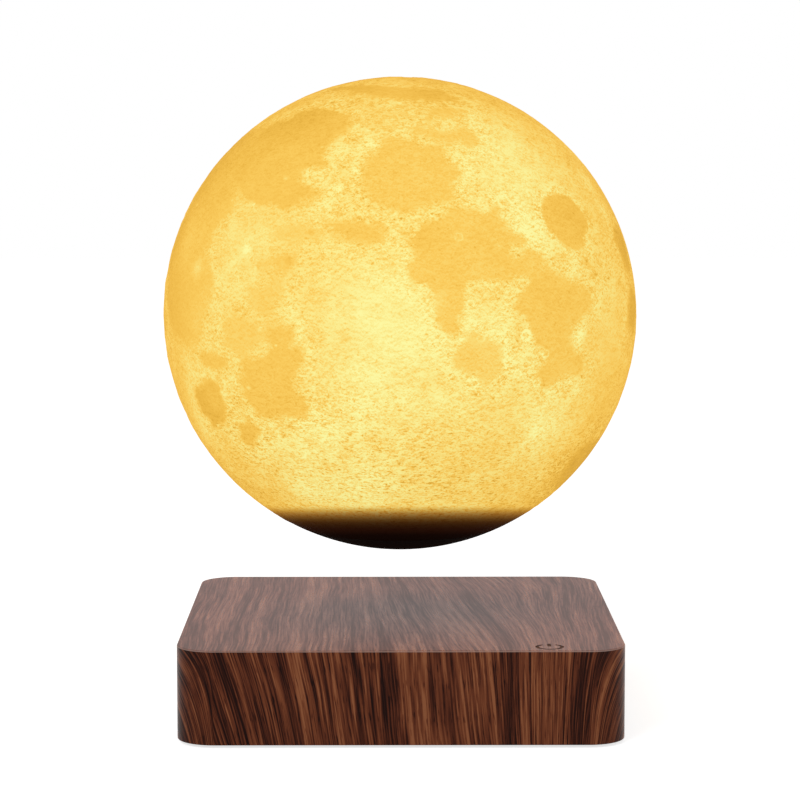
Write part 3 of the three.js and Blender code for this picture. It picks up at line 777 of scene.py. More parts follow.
    def detail(self, nodes: Nodes, rim: NodeSocket) -> Node:
        """The fine marks of the print and of the moon's relief, with painted light and shade of small
        ridges, and an eased upper limit.

        Args:
            nodes: The material's nodes.
            rim: The rims of the mesh's own craters.

        Returns:
            How much lighter each point gets.
        """
        parts = (
            (self.centred(nodes, nodes.place, self.cloud_mm, 4.0), self.cloud_weight),
            (self.centred(nodes, nodes.place, self.grain_mm, 2.0), self.grain_weight),
            (self.painted_ridge_shading(nodes), self.ridge_shading_weight),
            (self.craters(nodes, self.pit_mm, 0.5), self.pit_weight),
            (self.craters(nodes, self.pit_mm * 2.2, 0.7), self.wide_pit_weight),
            (self.specks(nodes, self.speck_mm), self.speck_weight),
            (self.specks(nodes, self.speck_mm * 1.7), self.thin_weight),
            (self.layers(nodes), self.layer_weight),
            (self.strokes(nodes), self.stroke_weight),
            (rim, self.rim_weight))
        total: Value = 0.0
        for part, weight in parts:
            total = nodes.add("Math", part, weight, total, operation="MULTIPLY_ADD")
        return nodes.add("Math", total, self.brightest_detail, 0.12, operation="SMOOTH_MIN")

    def small_craters(self, nodes: Nodes) -> Value:
        """The spots and rings, each a little ragged.

        Args:
            nodes: The material's nodes.

        Returns:
            How much lighter each point gets.
        """
        ragged = nodes.add("TexNoise", {"Vector": nodes.place, "Scale": 1 / (self.pit_mm * MM),
                                        "Detail": 3.0})
        shift = nodes.add("VectorMath", ragged.outputs["Color"], (-0.5, -0.5, -0.5), operation="ADD")
        moved = nodes.add("VectorMath", shift, (self.spot_wander_mm * MM,) * 3, nodes.place,
                          operation="MULTIPLY_ADD")
        total: Value = 0.0
        for spot in self.spots:
            reach = nodes.add("VectorMath", moved, spot.place, operation="DISTANCE").outputs["Value"]
            width = spot.radius
            if spot.ring:
                reach = nodes.add("Math", nodes.add("Math", reach, spot.radius, operation="SUBTRACT"),
                                  operation="ABSOLUTE")
                width = spot.radius * self.ring_share
            shape = nodes.add("MapRange", reach, 0.0, width, spot.lighter, 0.0,
                              interpolation_type="SMOOTHSTEP")
            total = nodes.add("Math", shape, total, operation="ADD")
        return total

    def centred(self, nodes: Nodes, place: Value, size_mm: float, detail: float) -> Node:
        """Noise about zero, of a size in millimetres."""
        return nodes.add("Math", nodes.add("TexNoise", {"Vector": place, "Scale": 1 / (size_mm * MM),
                                                        "Detail": detail, "Roughness": 0.65}), 0.5,
                         operation="SUBTRACT")

    def painted_ridge_shading(self, nodes: Nodes) -> Node:
        """Painted light and shade of small ridges: the difference in height between a point and one just
        above it.
        """
        above = nodes.add("VectorMath", nodes.place, (0.0, 0.0, self.ridge_light_step_mm * MM), operation="ADD")
        return nodes.add("Math", self.centred(nodes, above, self.ridge_mm, 5.0),
                         self.centred(nodes, nodes.place, self.ridge_mm, 5.0), operation="SUBTRACT")

    def craters(self, nodes: Nodes, cell_mm: float, rarity: float) -> Node:
        """Small craters too fine for the mesh: a bright rim round a slightly darker floor.

        Args:
            nodes: The material's nodes.
            cell_mm: The spacing of the craters.
            rarity: The share of the places that stay empty.

        Returns:
            The node with the brightness that they add.
        """
        radius, width, floor_level = 0.3, 0.09, -0.35
        cells = nodes.add("TexVoronoi", {"Vector": nodes.place, "Scale": 1 / (cell_mm * MM)})
        distance = cells.outputs["Distance"]
        off = nodes.add("Math", nodes.add("Math", distance, radius, operation="SUBTRACT"),
                        operation="ABSOLUTE")
        rim = nodes.add("MapRange", off, 0.0, width, 1.0, 0.0, interpolation_type="SMOOTHSTEP")
        floor = nodes.add("MapRange", distance, radius - width, radius, floor_level, 0.0)
        both = nodes.add("Math", rim, floor, operation="ADD")
        there = nodes.add("MapRange", nodes.add("SeparateColor", cells.outputs["Color"]), rarity, 1.0)
        return nodes.add("Math", both, there, operation="MULTIPLY")

    def specks(self, nodes: Nodes, size_mm: float) -> Node:
        """Small dots where a blob of plastic lies on the print, or where it is thin."""
        return nodes.add("MapRange", self.centred(nodes, nodes.place, size_mm, 1.0), 0.14, 0.24)

    def layers(self, nodes: Nodes) -> Node:
        """Nearly level marks in the lower half, where the print's layers hang over."""
        centred = nodes.add("Math", self.level_marks(nodes, 1.0), 0.5, operation="SUBTRACT")
        return nodes.add("Math", centred, self.lower_half(nodes), operation="MULTIPLY")

    def strokes(self, nodes: Nodes) -> Node:
        """Short dark strokes between the layers, mostly in the lower half.

        Args:
            nodes: The material's nodes.

        Returns:
            One in a stroke and zero beside it.
        """
        dark = nodes.add("MapRange", self.level_marks(nodes, 0.62), 0.54, 0.72)
        share = nodes.add("MapRange", self.lower_half(nodes), 0.0, 1.0, 0.25, 1.0)
        return nodes.add("Math", dark, share, operation="MULTIPLY")

    def level_marks(self, nodes: Nodes, scale: float) -> Node:
        """Noise that is wider than it is high.

        Args:
            nodes: The material's nodes.
            scale: The size of the marks, as a share of the print's layers.

        Returns:
            The noise.
        """
        level, height = 1 / (self.layer_length_mm * scale * MM), 1 / (self.layer_height_mm * scale * MM)
        flat = nodes.add("VectorMath", nodes.place, (level, level, height), operation="MULTIPLY")
        return nodes.add("TexNoise", {"Vector": flat, "Scale": 1.0, "Detail": 3.0, "Distortion": 0.6})

    def lower_half(self, nodes: Nodes) -> Node:
        """One low on the globe, where the print hangs over, and zero above its middle."""
        start, end = self.centre_height - 12 * MM, self.centre_height - 45 * MM
        return nodes.add("MapRange", nodes.add("SeparateXYZ", nodes.place).outputs["Z"], start, end)


@dataclass
class PhotoCamera:
    """The photograph's viewing angle, solved from the base's corners and the globe's circle."""

    place: Point = (-5.1 * MM, -860.2 * MM, 183.6 * MM)
    pitch: float = math.radians(5.702)
    turn: float = math.radians(-0.34)
    lens_mm: float = 121.86
    sensor_mm: float = 36.0
    picture_px: float = 800.0
    nearest: float = 10 * MM
    farthest: float = 50.0

    @property
    def rotation(self) -> Euler:
        """The camera looks along +Y, a little down and a trace to the right."""
        return Euler((QUARTER_TURN - self.pitch, 0.0, self.turn))

    def build(self) -> None:
        """Makes the camera and hands it to the scene."""
        data = bpy.data.cameras.new("photo_camera")
        data.lens, data.sensor_width = self.lens_mm, self.sensor_mm
        data.clip_start, data.clip_end = self.nearest, self.farthest
        camera = bpy.data.objects.new("photo_camera", data)
        camera.location = self.place
        camera.rotation_euler = self.rotation
        bpy.context.scene.collection.objects.link(camera)
        bpy.context.scene.camera = camera
        log.info("camera: %.1f mm lens", self.lens_mm)

    def seen_on(self, x: float, y: float, centre: Vector, radius: float) -> np.ndarray:
        """Where a pixel of the photograph lies on a ball.

        Args:
            x: The pixel's column.
            y: The pixel's row.
            centre: The ball's centre.
            radius: The ball's radius.

        Returns:
            The unit direction from the ball's centre. A pixel beside the ball gives the nearest point.
        """
        focal, half = self.lens_mm / self.sensor_mm * self.picture_px, self.picture_px / 2
        ray = self.rotation.to_matrix() @ Vector(((x - half) / focal, (half - y) / focal, -1.0))
        ray.normalize()
        start = Vector(self.place) - centre
        middle = -start.dot(ray)
        depth = radius ** 2 - (start + ray * middle).length_squared
        hit = start + ray * (middle - math.sqrt(max(depth, 0.0)))
        return np.array(hit.normalized())


def unit(vector: np.ndarray) -> np.ndarray:
    """The vector's direction."""
    return vector / np.linalg.norm(vector)


def degrees_from(directions: np.ndarray, middle: np.ndarray) -> np.ndarray:
    """Angles in degrees between unit directions, one row each, and one direction."""
    return np.degrees(np.arccos(np.clip(directions @ middle, -1, 1)))


def flat_round(middle: np.ndarray, directions: np.ndarray) -> np.ndarray:
    """Lays the globe flat round one point, with true distances from that point.

    Args:
        middle: Unit direction of the point.
        directions: Unit directions, one row each.

    Returns:
        Two coordinates in degrees, one row each.
    """
    east = unit(np.cross([0.0, 0.0, 1.0], middle))
    north = np.cross(middle, east)
    x, y = directions @ east, directions @ north
    scale = degrees_from(directions, middle) / np.maximum(np.hypot(x, y), 1e-9)
    return np.stack([x * scale, y * scale], -1)


def inside_outline(points: np.ndarray, outline: np.ndarray) -> np.ndarray:
    """Distance of points to an outline, positive inside.

    Args:
        points: X and Y, one row each.
        outline: The corners in order.

    Returns:
        Signed distances.
    """
    nearest = np.full(len(points), np.inf)
    crossings = np.zeros(len(points), int)
    for a, b in zip(outline, np.roll(outline, -1, axis=0)):
        edge = b - a
        share = np.clip((points - a) @ edge / (edge @ edge), 0, 1)
        nearest = np.minimum(nearest, np.hypot(*(points - a - share[:, None] * edge).T))
        spans = (a[1] > points[:, 1]) != (b[1] > points[:, 1])
        rise = edge[1] if edge[1] != 0 else 1.0
        crossings += spans & (points[:, 0] < a[0] + (points[:, 1] - a[1]) * edge[0] / rise)
    return np.where(crossings % 2 == 1, nearest, -nearest)


@dataclass(frozen=True)
class Sea:
    """A dark plain of the moon, as the photograph shows it.

    The outline is in pixels of the photograph. The level says how much light comes through, from 0 to 1,
    and a blur above 1 makes the shore softer.
    """

    name: str
    level: float
    outline: tuple[tuple[float, float], ...]
    blur: float = 1.0


@dataclass(frozen=True)
class Mark:
    """A round mark in pixels of the photograph, and how much lighter it is than what is round it."""

    x: float
    y: float
    radius: float
    lighter: float
    rays: int = 0
    ring: bool = False


def marks(*rows: tuple[float, ...], ring: bool = False) -> tuple[Mark, ...]:
    """Marks from rows of column, row, radius, how much lighter, and the number of rays if it has any."""
    return tuple(Mark(*row, ring=ring) for row in rows)


SEAS = (
    Sea("sea of showers", 0.44, (
        (346, 114), (328, 109), (316, 107), (304, 110), (292, 116), (282, 120), (273, 123), (264, 129),
        (257, 136), (252, 142), (243, 148), (238, 156), (233, 165), (232, 177), (237, 186), (246, 197),
        (258, 205), (273, 206), (286, 211), (298, 206), (310, 200), (321, 192), (316, 183), (299, 179),
        (298, 169), (313, 168), (328, 165), (322, 156), (331, 147), (341, 136), (350, 131), (351, 121)),
        blur=1.2),
    Sea("sea of serenity", 0.54, (
        (387, 136), (371, 153), (362, 162), (361, 177), (364, 192), (374, 202), (385, 208), (396, 212),
        (409, 211), (420, 209), (428, 205), (440, 205), (454, 203), (457, 197), (455, 186), (457, 180),
        (461, 174), (457, 168), (452, 163), (446, 156), (444, 147), (440, 143), (423, 143), (409, 139),
        (400, 136))),
    Sea("sea of tranquillity", 0.53, (
        (454, 203), (466, 209), (486, 212), (492, 205), (506, 208), (499, 215), (504, 223), (507, 232),
        (516, 235), (527, 241), (513, 248), (512, 257), (522, 254), (532, 249), (542, 255), (547, 263),
        (535, 272), (516, 280), (507, 283), (492, 281), (481, 278), (472, 284), (466, 295), (461, 310),
        (461, 329), (454, 338), (446, 336), (443, 329), (437, 319), (435, 300), (428, 289), (415, 284),
        (409, 269), (417, 254), (409, 241), (417, 231), (426, 223), (438, 217), (446, 212))),
    Sea("sea of fertility", 0.49, (
        (547, 263), (555, 269), (562, 278), (581, 284), (590, 295), (591, 309), (584, 321), (571, 326),
        (570, 339), (576, 350), (585, 358), (588, 368), (579, 376), (565, 375), (555, 384), (542, 387),
        (536, 379), (538, 368), (550, 361), (544, 350), (535, 346), (532, 330), (527, 319), (518, 313),
        (515, 303), (521, 295), (527, 284), (535, 272))),
    Sea("sea of nectar", 0.60, (
        (466, 335), (477, 333), (486, 336), (492, 342), (501, 347), (499, 356), (501, 370), (495, 379),
        (484, 382), (478, 376), (469, 375), (460, 370), (454, 361), (457, 352), (461, 344))),
    Sea("sea of crises", 0.43, (
        (541, 203), (547, 197), (562, 193), (570, 197), (578, 205), (585, 215), (590, 226), (585, 237),
        (584, 244), (570, 248), (562, 244), (555, 235), (547, 228), (544, 220), (541, 212)), blur=0.6),
    Sea("sea of clouds", 0.47, (
        (267, 330), (276, 327), (290, 328), (290, 341), (282, 348), (292, 350), (302, 348), (304, 361),
        (298, 371), (295, 379), (298, 390), (305, 396), (308, 405), (307, 416), (298, 416), (286, 417),
        (273, 423), (266, 423), (258, 416), (250, 408), (246, 400), (241, 393), (240, 382), (241, 371),
        (241, 361), (252, 357), (264, 357), (267, 351), (273, 345), (267, 341))),
    Sea("known sea", 0.56, (
        (223, 319), (232, 313), (246, 312), (255, 319), (259, 330), (258, 344), (252, 351), (240, 354),
        (229, 351), (223, 341), (221, 328)), blur=1.3),
    Sea("sea of moisture", 0.36, (
        (195, 385), (204, 385), (212, 380), (220, 387), (219, 396), (224, 405), (227, 414), (227, 422),
        (221, 426), (214, 428), (209, 420), (203, 414), (198, 405), (195, 396))),
    Sea("strait above the sea of moisture", 0.46, (
        (195, 352), (206, 354), (218, 356), (229, 359), (229, 367), (221, 372), (212, 368), (204, 361))),
    Sea("marsh of sickness", 0.42, (
        (238, 423), (250, 422), (259, 431), (259, 440), (252, 445), (246, 443), (240, 437))),
    Sea("sea of vapours", 0.49, (
        (330, 223), (341, 219), (355, 219), (372, 223), (383, 232), (380, 244), (366, 249), (350, 244),
        (335, 236)), blur=1.3),
    Sea("seething bay", 0.58, (
        (276, 228), (298, 225), (318, 228), (318, 236), (302, 240), (282, 238)), blur=1.6),
    Sea("sea of islands", 0.52, (
        (258, 258), (276, 254), (292, 251), (295, 266), (286, 271), (270, 270), (259, 267)), blur=1.6),
    Sea("south of the sea of islands", 0.57, (
        (246, 287), (259, 284), (276, 287), (278, 300), (276, 315), (267, 321), (258, 315), (249, 303)),
        blur=1.6),
    Sea("ocean of storms", 0.50, (
        (262, 128), (250, 150), (240, 170), (236, 190), (228, 215), (214, 232), (206, 254), (211, 284),
        (207, 315), (200, 342), (188, 346), (177, 342), (169, 323), (167, 300), (169, 269), (176, 238),
        (187, 212), (200, 187), (215, 165), (232, 145), (248, 131)), blur=1.8),
    Sea("sea of cold", 0.42, (
        (333, 89), (359, 85), (390, 86), (420, 88), (443, 91), (460, 99), (443, 103), (420, 101), (399, 99),
        (374, 97), (356, 93)), blur=1.3),
    Sea("east of the sea of cold", 0.54, (
        (425, 110), (451, 106), (464, 110), (451, 118), (429, 120)), blur=1.3),
    Sea("lake of dreams", 0.56, (
        (414, 127), (429, 128), (445, 131), (460, 128), (475, 134), (479, 143), (468, 150), (460, 143),
        (448, 147), (442, 142), (429, 139), (417, 134)), blur=1.2),
    Sea("sea on the edge", 0.40, (
        (613, 226), (621, 231), (627, 251), (631, 272), (625, 269), (621, 254), (615, 240)), blur=1.3),
    Sea("smooth sea on the limb", 0.40, (
        (630, 287), (635, 293), (636, 315), (633, 335), (628, 327), (628, 306)), blur=1.3),
    Sea("sea of waves", 0.52, (
        (582, 258), (593, 260), (604, 269), (604, 277), (595, 275), (586, 267)), blur=1.2),
    Sea("southern sea", 0.36, (
        (604, 433), (601, 445), (590, 462), (573, 477), (558, 489), (553, 483), (564, 468), (576, 453),
        (590, 440)), blur=1.8),
)

# Broad changes of tone, then bright craters, then the bright mountains and the dark dots
TONES = marks(
    (395, 322, 66, 0.24), (372, 405, 48, 0.13), (505, 165, 62, 0.16), (533, 228, 24, 0.19),
    (500, 330, 45, 0.11), (555, 425, 42, 0.16), (362, 488, 36, 0.17), (285, 452, 42, 0.08),
    (405, 88, 80, -0.07), (595, 395, 48, -0.11), (568, 470, 52, -0.14), (212, 400, 30, 0.07),
    (510, 450, 45, -0.05), (490, 125, 40, 0.05), (395, 89, 26, 0.17), (572, 152, 24, 0.13),
    (195, 410, 34, 0.07), (365, 405, 30, 0.05), (277, 282, 26, -0.07), (260, 204, 26, -0.05),
    (632, 315, 18, -0.10), (350, 192, 18, -0.06), (208, 438, 28, 0.14), (192, 382, 20, 0.06),
    (597, 382, 26, 0.05), (365, 486, 40, 0.06), (278, 462, 30, 0.03), (310, 493, 24, 0.24),
    (326, 434, 17, 0.20), (587, 181, 16, 0.19), (605, 213, 12, 0.17), (549, 140, 12, 0.12),
    (463, 409, 14, 0.15), (486, 428, 12, 0.13), (441, 403, 12, 0.12), (393, 121, 9, 0.13),
    (356, 109, 9, 0.13), (236, 404, 10, -0.16), (219, 374, 8, -0.12), (283, 421, 9, -0.12),
    (225, 303, 11, -0.13), (246, 264, 10, -0.13), (407, 234, 9, -0.14), (520, 323, 9, -0.18))
# Slow changes of tone within the seas
SEA_TONES = marks(
    (305, 122, 32, -0.08), (265, 170, 40, 0.03), (425, 237, 18, -0.12), (190, 240, 34, 0.13),
    (213, 402, 14, 0.09), (395, 90, 24, 0.09), (197, 269, 10, 0.20), (438, 300, 8, 0.14),
    (198, 315, 24, 0.09))
MARKS = marks(
    (248, 248, 26, 0.07, 13), (198, 271, 18, 0.10, 9), (308, 178, 15, 0.12), (338, 190, 10, 0.10),
    (324, 203, 9, 0.09), (352, 164, 9, 0.10), (370, 147, 8, 0.10), (536, 234, 10, 0.10),
    (546, 247, 9, 0.08), (533, 433, 22, 0.10, 12), (308, 440, 26, 0.09, 11), (512, 190, 9, -0.06),
    (286, 312, 9, 0.10), (580, 335, 12, 0.12), (246, 392, 4, 0.14), (254, 403, 4, 0.14),
    (262, 414, 4, 0.14), (270, 425, 4, 0.14), (278, 436, 4, 0.14), (286, 447, 4, 0.14))
# Where the fine relief is weaker or stronger
ROUGHNESS = marks(
    (252, 232, 72, -0.48), (190, 385, 62, -0.42), (180, 300, 44, -0.35), (612, 345, 44, -0.30),
    (585, 420, 40, -0.28), (385, 310, 52, -0.25), (400, 88, 40, -0.30), (262, 348, 40, -0.25),
    (390, 465, 80, 0.42), (350, 408, 34, 0.22), (515, 358, 24, 0.40), (535, 215, 26, 0.30),
    (360, 190, 30, 0.20), (562, 150, 34, 0.20))
# Small craters and hills, upper left, upper right, lower left and lower right
CRATERS = marks(
    (247, 249, 8, 0.30), (254, 204, 2.8, 0.38), (286, 178, 5, 0.20), (322, 147, 3, 0.20),
    (367, 221, 5, 0.32), (396, 214, 5, 0.26), (197, 204, 5, 0.22), (332, 103, 5, -0.34),
    (312, 232, 7, -0.14), (289, 261, 9, -0.14), (373, 144, 6, 0.20), (368, 130, 4, 0.18),
    (338, 188, 8, 0.18), (355, 171, 7, 0.16), (232, 200, 2.6, 0.22), (399, 103, 4, 0.20),
    (383, 102, 4, 0.16), (409, 191, 2.6, 0.18), (536, 130, 3.2, -0.42), (493, 104, 4, -0.26),
    (511, 120, 4, -0.20), (527, 216, 7, 0.18), (500, 245, 2, 0.34), (515, 188, 6, 0.16),
    (587, 261, 5, -0.30), (596, 274, 5, -0.26), (591, 290, 6, -0.24), (606, 266, 4, -0.26),
    (617, 232, 4, -0.28), (617, 246, 4, -0.28), (585, 207, 3, -0.22), (432, 216, 4, 0.16),
    (248, 387, 5, 0.28), (270, 395, 3, 0.20), (218, 330, 5, 0.18), (260, 330, 5, 0.18), (267, 349, 5, 0.16),
    (224, 382, 5, 0.14), (276, 345, 2, 0.30), (238, 360, 5, 0.14), (289, 426, 4, -0.24),
    (256, 444, 3.5, -0.28), (314, 332, 11, -0.09), (345, 336, 9, -0.09), (581, 334, 10, 0.12),
    (462, 339, 4.5, 0.26), (526, 371, 3.4, -0.20), (566, 398, 3, -0.26), (535, 432, 11, 0.12),
    (595, 423, 3.5, -0.20), (574, 463, 9, -0.16), (579, 356, 7, -0.10), (560, 381, 5, 0.14),
    (571, 382, 4, 0.14)) + marks(
    (332, 103, 8, 0.18), (459, 237, 4, 0.16), (437, 118, 4, 0.18), (526, 336, 5, 0.30), (481, 338, 4, 0.16),
    (472, 384, 6, 0.18), (546, 354, 4, 0.22), (518, 374, 4, 0.22), (537, 383, 4, 0.20), ring=True)


@dataclass
class MoonMap:
    """The map of the moon that the print follows: dark seas, bright rays and craters.

    The near side follows the photograph, whose pixels the camera lays on the globe. The far side isn't in
    the photograph. It gets small seas and craters at random places.
    """

    camera: PhotoCamera
    centre: Vector
    radius: float
    middle_px: tuple[float, float] = (400.0, 313.0)
    land_level: float = 0.665
    shore_sharpness: float = 1.1
    shore_reach: float = 10.0
    far_seas: int = 7
    far_sea_level: float = 0.48
    far_blots: int = 34
    limb_painted_shade: float = -0.36
    far_lighter: float = 0.22
    craters: int = 1700
    seed: int = 7

    def on_globe(self, x: float, y: float) -> np.ndarray:
        """The direction of a pixel of the photograph on the globe."""
        return self.camera.seen_on(x, y, self.centre, self.radius)

    def degrees(self, pixels: float) -> float:
        """The angle on the globe that pixels of the photograph span at its middle."""
        x, y = self.middle_px
        return math.degrees(math.acos(min(1.0, float(self.on_globe(x + pixels, y) @ self.on_globe(x, y)))))

    def seas(self, directions: np.ndarray) -> tuple[np.ndarray, np.ndarray]:
        """Where the seas are, and how bright they are.

        Args:
            directions: Unit directions from the globe's centre.

        Returns:
            Degrees inside the nearest sea, and the level of the seas round each point.
        """
        sharpness, reach = self.shore_sharpness, self.shore_reach
        weights = np.full(len(directions), 1e-9)
        levels = weights * self.land_level
        for sea in SEAS:
            corners = np.array([self.on_globe(x, y) for x, y in sea.outline])
            middle = unit(corners.mean(axis=0))
            widest = min(degrees_from(corners, middle).max() + reach, 90.0)
            near = directions @ middle > math.cos(math.radians(widest))
            inside = inside_outline(flat_round(middle, directions[near]), flat_round(middle, corners))
            weight = np.exp(np.clip(inside / sea.blur, -reach, reach) * sharpness)
            weights[near] += weight
            levels[near] += weight * sea.level
        for middle, size in self.far_places():
            weight = np.exp(np.clip(size - degrees_from(directions, middle), -reach, reach) * sharpness)
            weights += weight
            levels += weight * self.far_sea_level
        levels = levels / weights + self.tone(directions, SEA_TONES) + self.away(directions)
        return np.clip(np.log(weights) / sharpness, -9, 9), levels

    def far_places(self) -> list[tuple[np.ndarray, float]]:
        """Middles and sizes in degrees of the few seas on the far side.

        Returns:
            A unit direction and a size for each of them.
        """
        rng = np.random.default_rng(self.seed + 2)
        places = []
        for _ in range(self.far_seas):
            turn, height = rng.uniform(-1.0, 1.0), rng.uniform(-0.6, 0.7)
            places.append((unit(np.array([math.sin(turn), math.cos(turn), height])), rng.uniform(2.5, 7.0)))
        return places

    def land(self, directions: np.ndarray) -> np.ndarray:
        """Brightness of the land: slow changes of tone, bright craters and their rays."""
        near = self.tone(directions, TONES + MARKS)
        return self.land_level + near + self.far_tone(directions) + self.away(directions)

    def away(self, directions: np.ndarray) -> np.ndarray:
        """Painted shade: darker towards the limb of the near side, as seen from the front, and a little
        less dark again on the far side.

        Args:
            directions: Unit directions from the globe's centre.

        Returns:
            How much lighter each point gets.
        """
        angle = degrees_from(directions, self.on_globe(*self.middle_px))
        limb = np.clip((angle - 45) / 38, 0, 1) ** 1.5
        return self.limb_painted_shade * limb + self.far_lighter * np.clip((angle - 90) / 50, 0, 1)

    def spots(self) -> tuple[Spot, ...]:
        """The small craters, which the material paints because they are finer than the mesh."""
        one_pixel = math.radians(self.degrees(1.0)) * self.radius
        return tuple(Spot(tuple(np.array(self.centre) + self.on_globe(m.x, m.y) * self.radius),
                          m.radius * one_pixel, m.lighter, m.ring) for m in CRATERS)

    def tone(self, directions: np.ndarray, marks: Sequence[Mark]) -> np.ndarray:
        """Adds up round marks and the rays of the bright craters.

        Args:
            directions: Unit directions from the globe's centre.
            marks: The marks.

        Returns:
            How much lighter each point gets.
        """
        rng = np.random.default_rng(self.seed + 1)
        result = np.zeros(len(directions))
        for mark in marks:
            middle = self.on_globe(mark.x, mark.y)
            result += self.blot(directions, middle, self.degrees(mark.radius), mark, rng)
        return result

    def blot(self, directions: np.ndarray, middle: np.ndarray, size: float, mark: Mark,
             rng: np.random.Generator) -> np.ndarray:
        """One round mark that fades outwards, with its rays.

        Args:
            directions: Unit directions from the globe's centre.
            middle: The mark's direction.
            size: Its radius in degrees.
            mark: How much lighter it is, and its number of rays.
            rng: The source of the rays' bearings.

        Returns:
            How much lighter each point gets.
        """
        ray_start = 0.25
        flat = flat_round(middle, directions)
        reach = np.hypot(flat[:, 0], flat[:, 1]) / size
        result = mark.lighter * np.exp(-reach ** 2)
        bearing = np.arctan2(flat[:, 1], flat[:, 0])
        for angle in rng.uniform(-math.pi, math.pi, mark.rays):
            off = np.abs((bearing - angle + math.pi) % FULL_TURN - math.pi)
            width, length = rng.uniform(0.07, 0.17), rng.uniform(0.8, 1.6)
            result += mark.lighter * np.exp(-(off / width) ** 2 - reach / length) * (reach > ray_start)
        return result

    def far_tone(self, directions: np.ndarray) -> np.ndarray:
        """Light and dark blots and rayed craters at random places on the far side.

        Args:
            directions: Unit directions from the globe's centre.

        Returns:
            How much lighter each point gets.
        """
        rng = np.random.default_rng(self.seed + 3)
        result = np.zeros(len(directions))
        for number in range(self.far_blots):
            rayed = number % 5 == 0
            turn, height = rng.uniform(-1.35, 1.35), rng.uniform(-0.75, 0.85)
            middle = unit(np.array([math.sin(turn), math.cos(turn), height]))
            size = rng.uniform(2.5, 5.0) if rayed else rng.uniform(4.0, 14.0)
            lighter = 0.13 if rayed else rng.uniform(-0.10, 0.14)
            mark = Mark(0, 0, size, lighter, 11 if rayed else 0)
            result += self.blot(directions, middle, size, mark, rng)
        return result

    def roughness(self, directions: np.ndarray) -> np.ndarray:
        """How strongly the fine relief shows: less in the west and the middle, more in the south."""
        return np.clip(1 + self.tone(directions, ROUGHNESS), 0.35, 1.7)

    def relief(self, directions: np.ndarray, sea: np.ndarray) -> tuple[np.ndarray, np.ndarray]:
        """Relief of the craters.

        Args:
            directions: Unit directions from the globe's centre.
            sea: Degrees inside the nearest sea.

        Returns:
            Heights as shares of a large crater's depth, positive outwards, and the rims alone.
        """
        largest, rim_width, full_depth_radius = 4.2, 0.22, 3.0
        rng = np.random.default_rng(self.seed)
        middles = rng.normal(size=(self.craters, 3))
        middles /= np.linalg.norm(middles, axis=1)[:, None]
        radii = np.minimum((1 - rng.uniform(size=self.craters)) ** -0.45, largest)
        heights, rims = np.zeros(len(directions)), np.zeros(len(directions))
        for middle, radius in zip(middles, radii):
            cosines = directions @ middle
            if sea[np.argmax(cosines)] > -0.5:
                continue
            near = cosines > math.cos(math.radians(radius * 2.2))
            reach = degrees_from(directions[near], middle) / radius
            share = min(1.0, radius / full_depth_radius)
            rim = np.exp(-((reach - 1) / rim_width) ** 2) * share
            bowl = np.where(reach < 1, reach ** 2 - 1, 0) * share
            heights[near] += bowl + 0.45 * rim
            rims[near] += rim + 0.3 * bowl
        return heights, np.clip(rims, -0.6, 1.0)


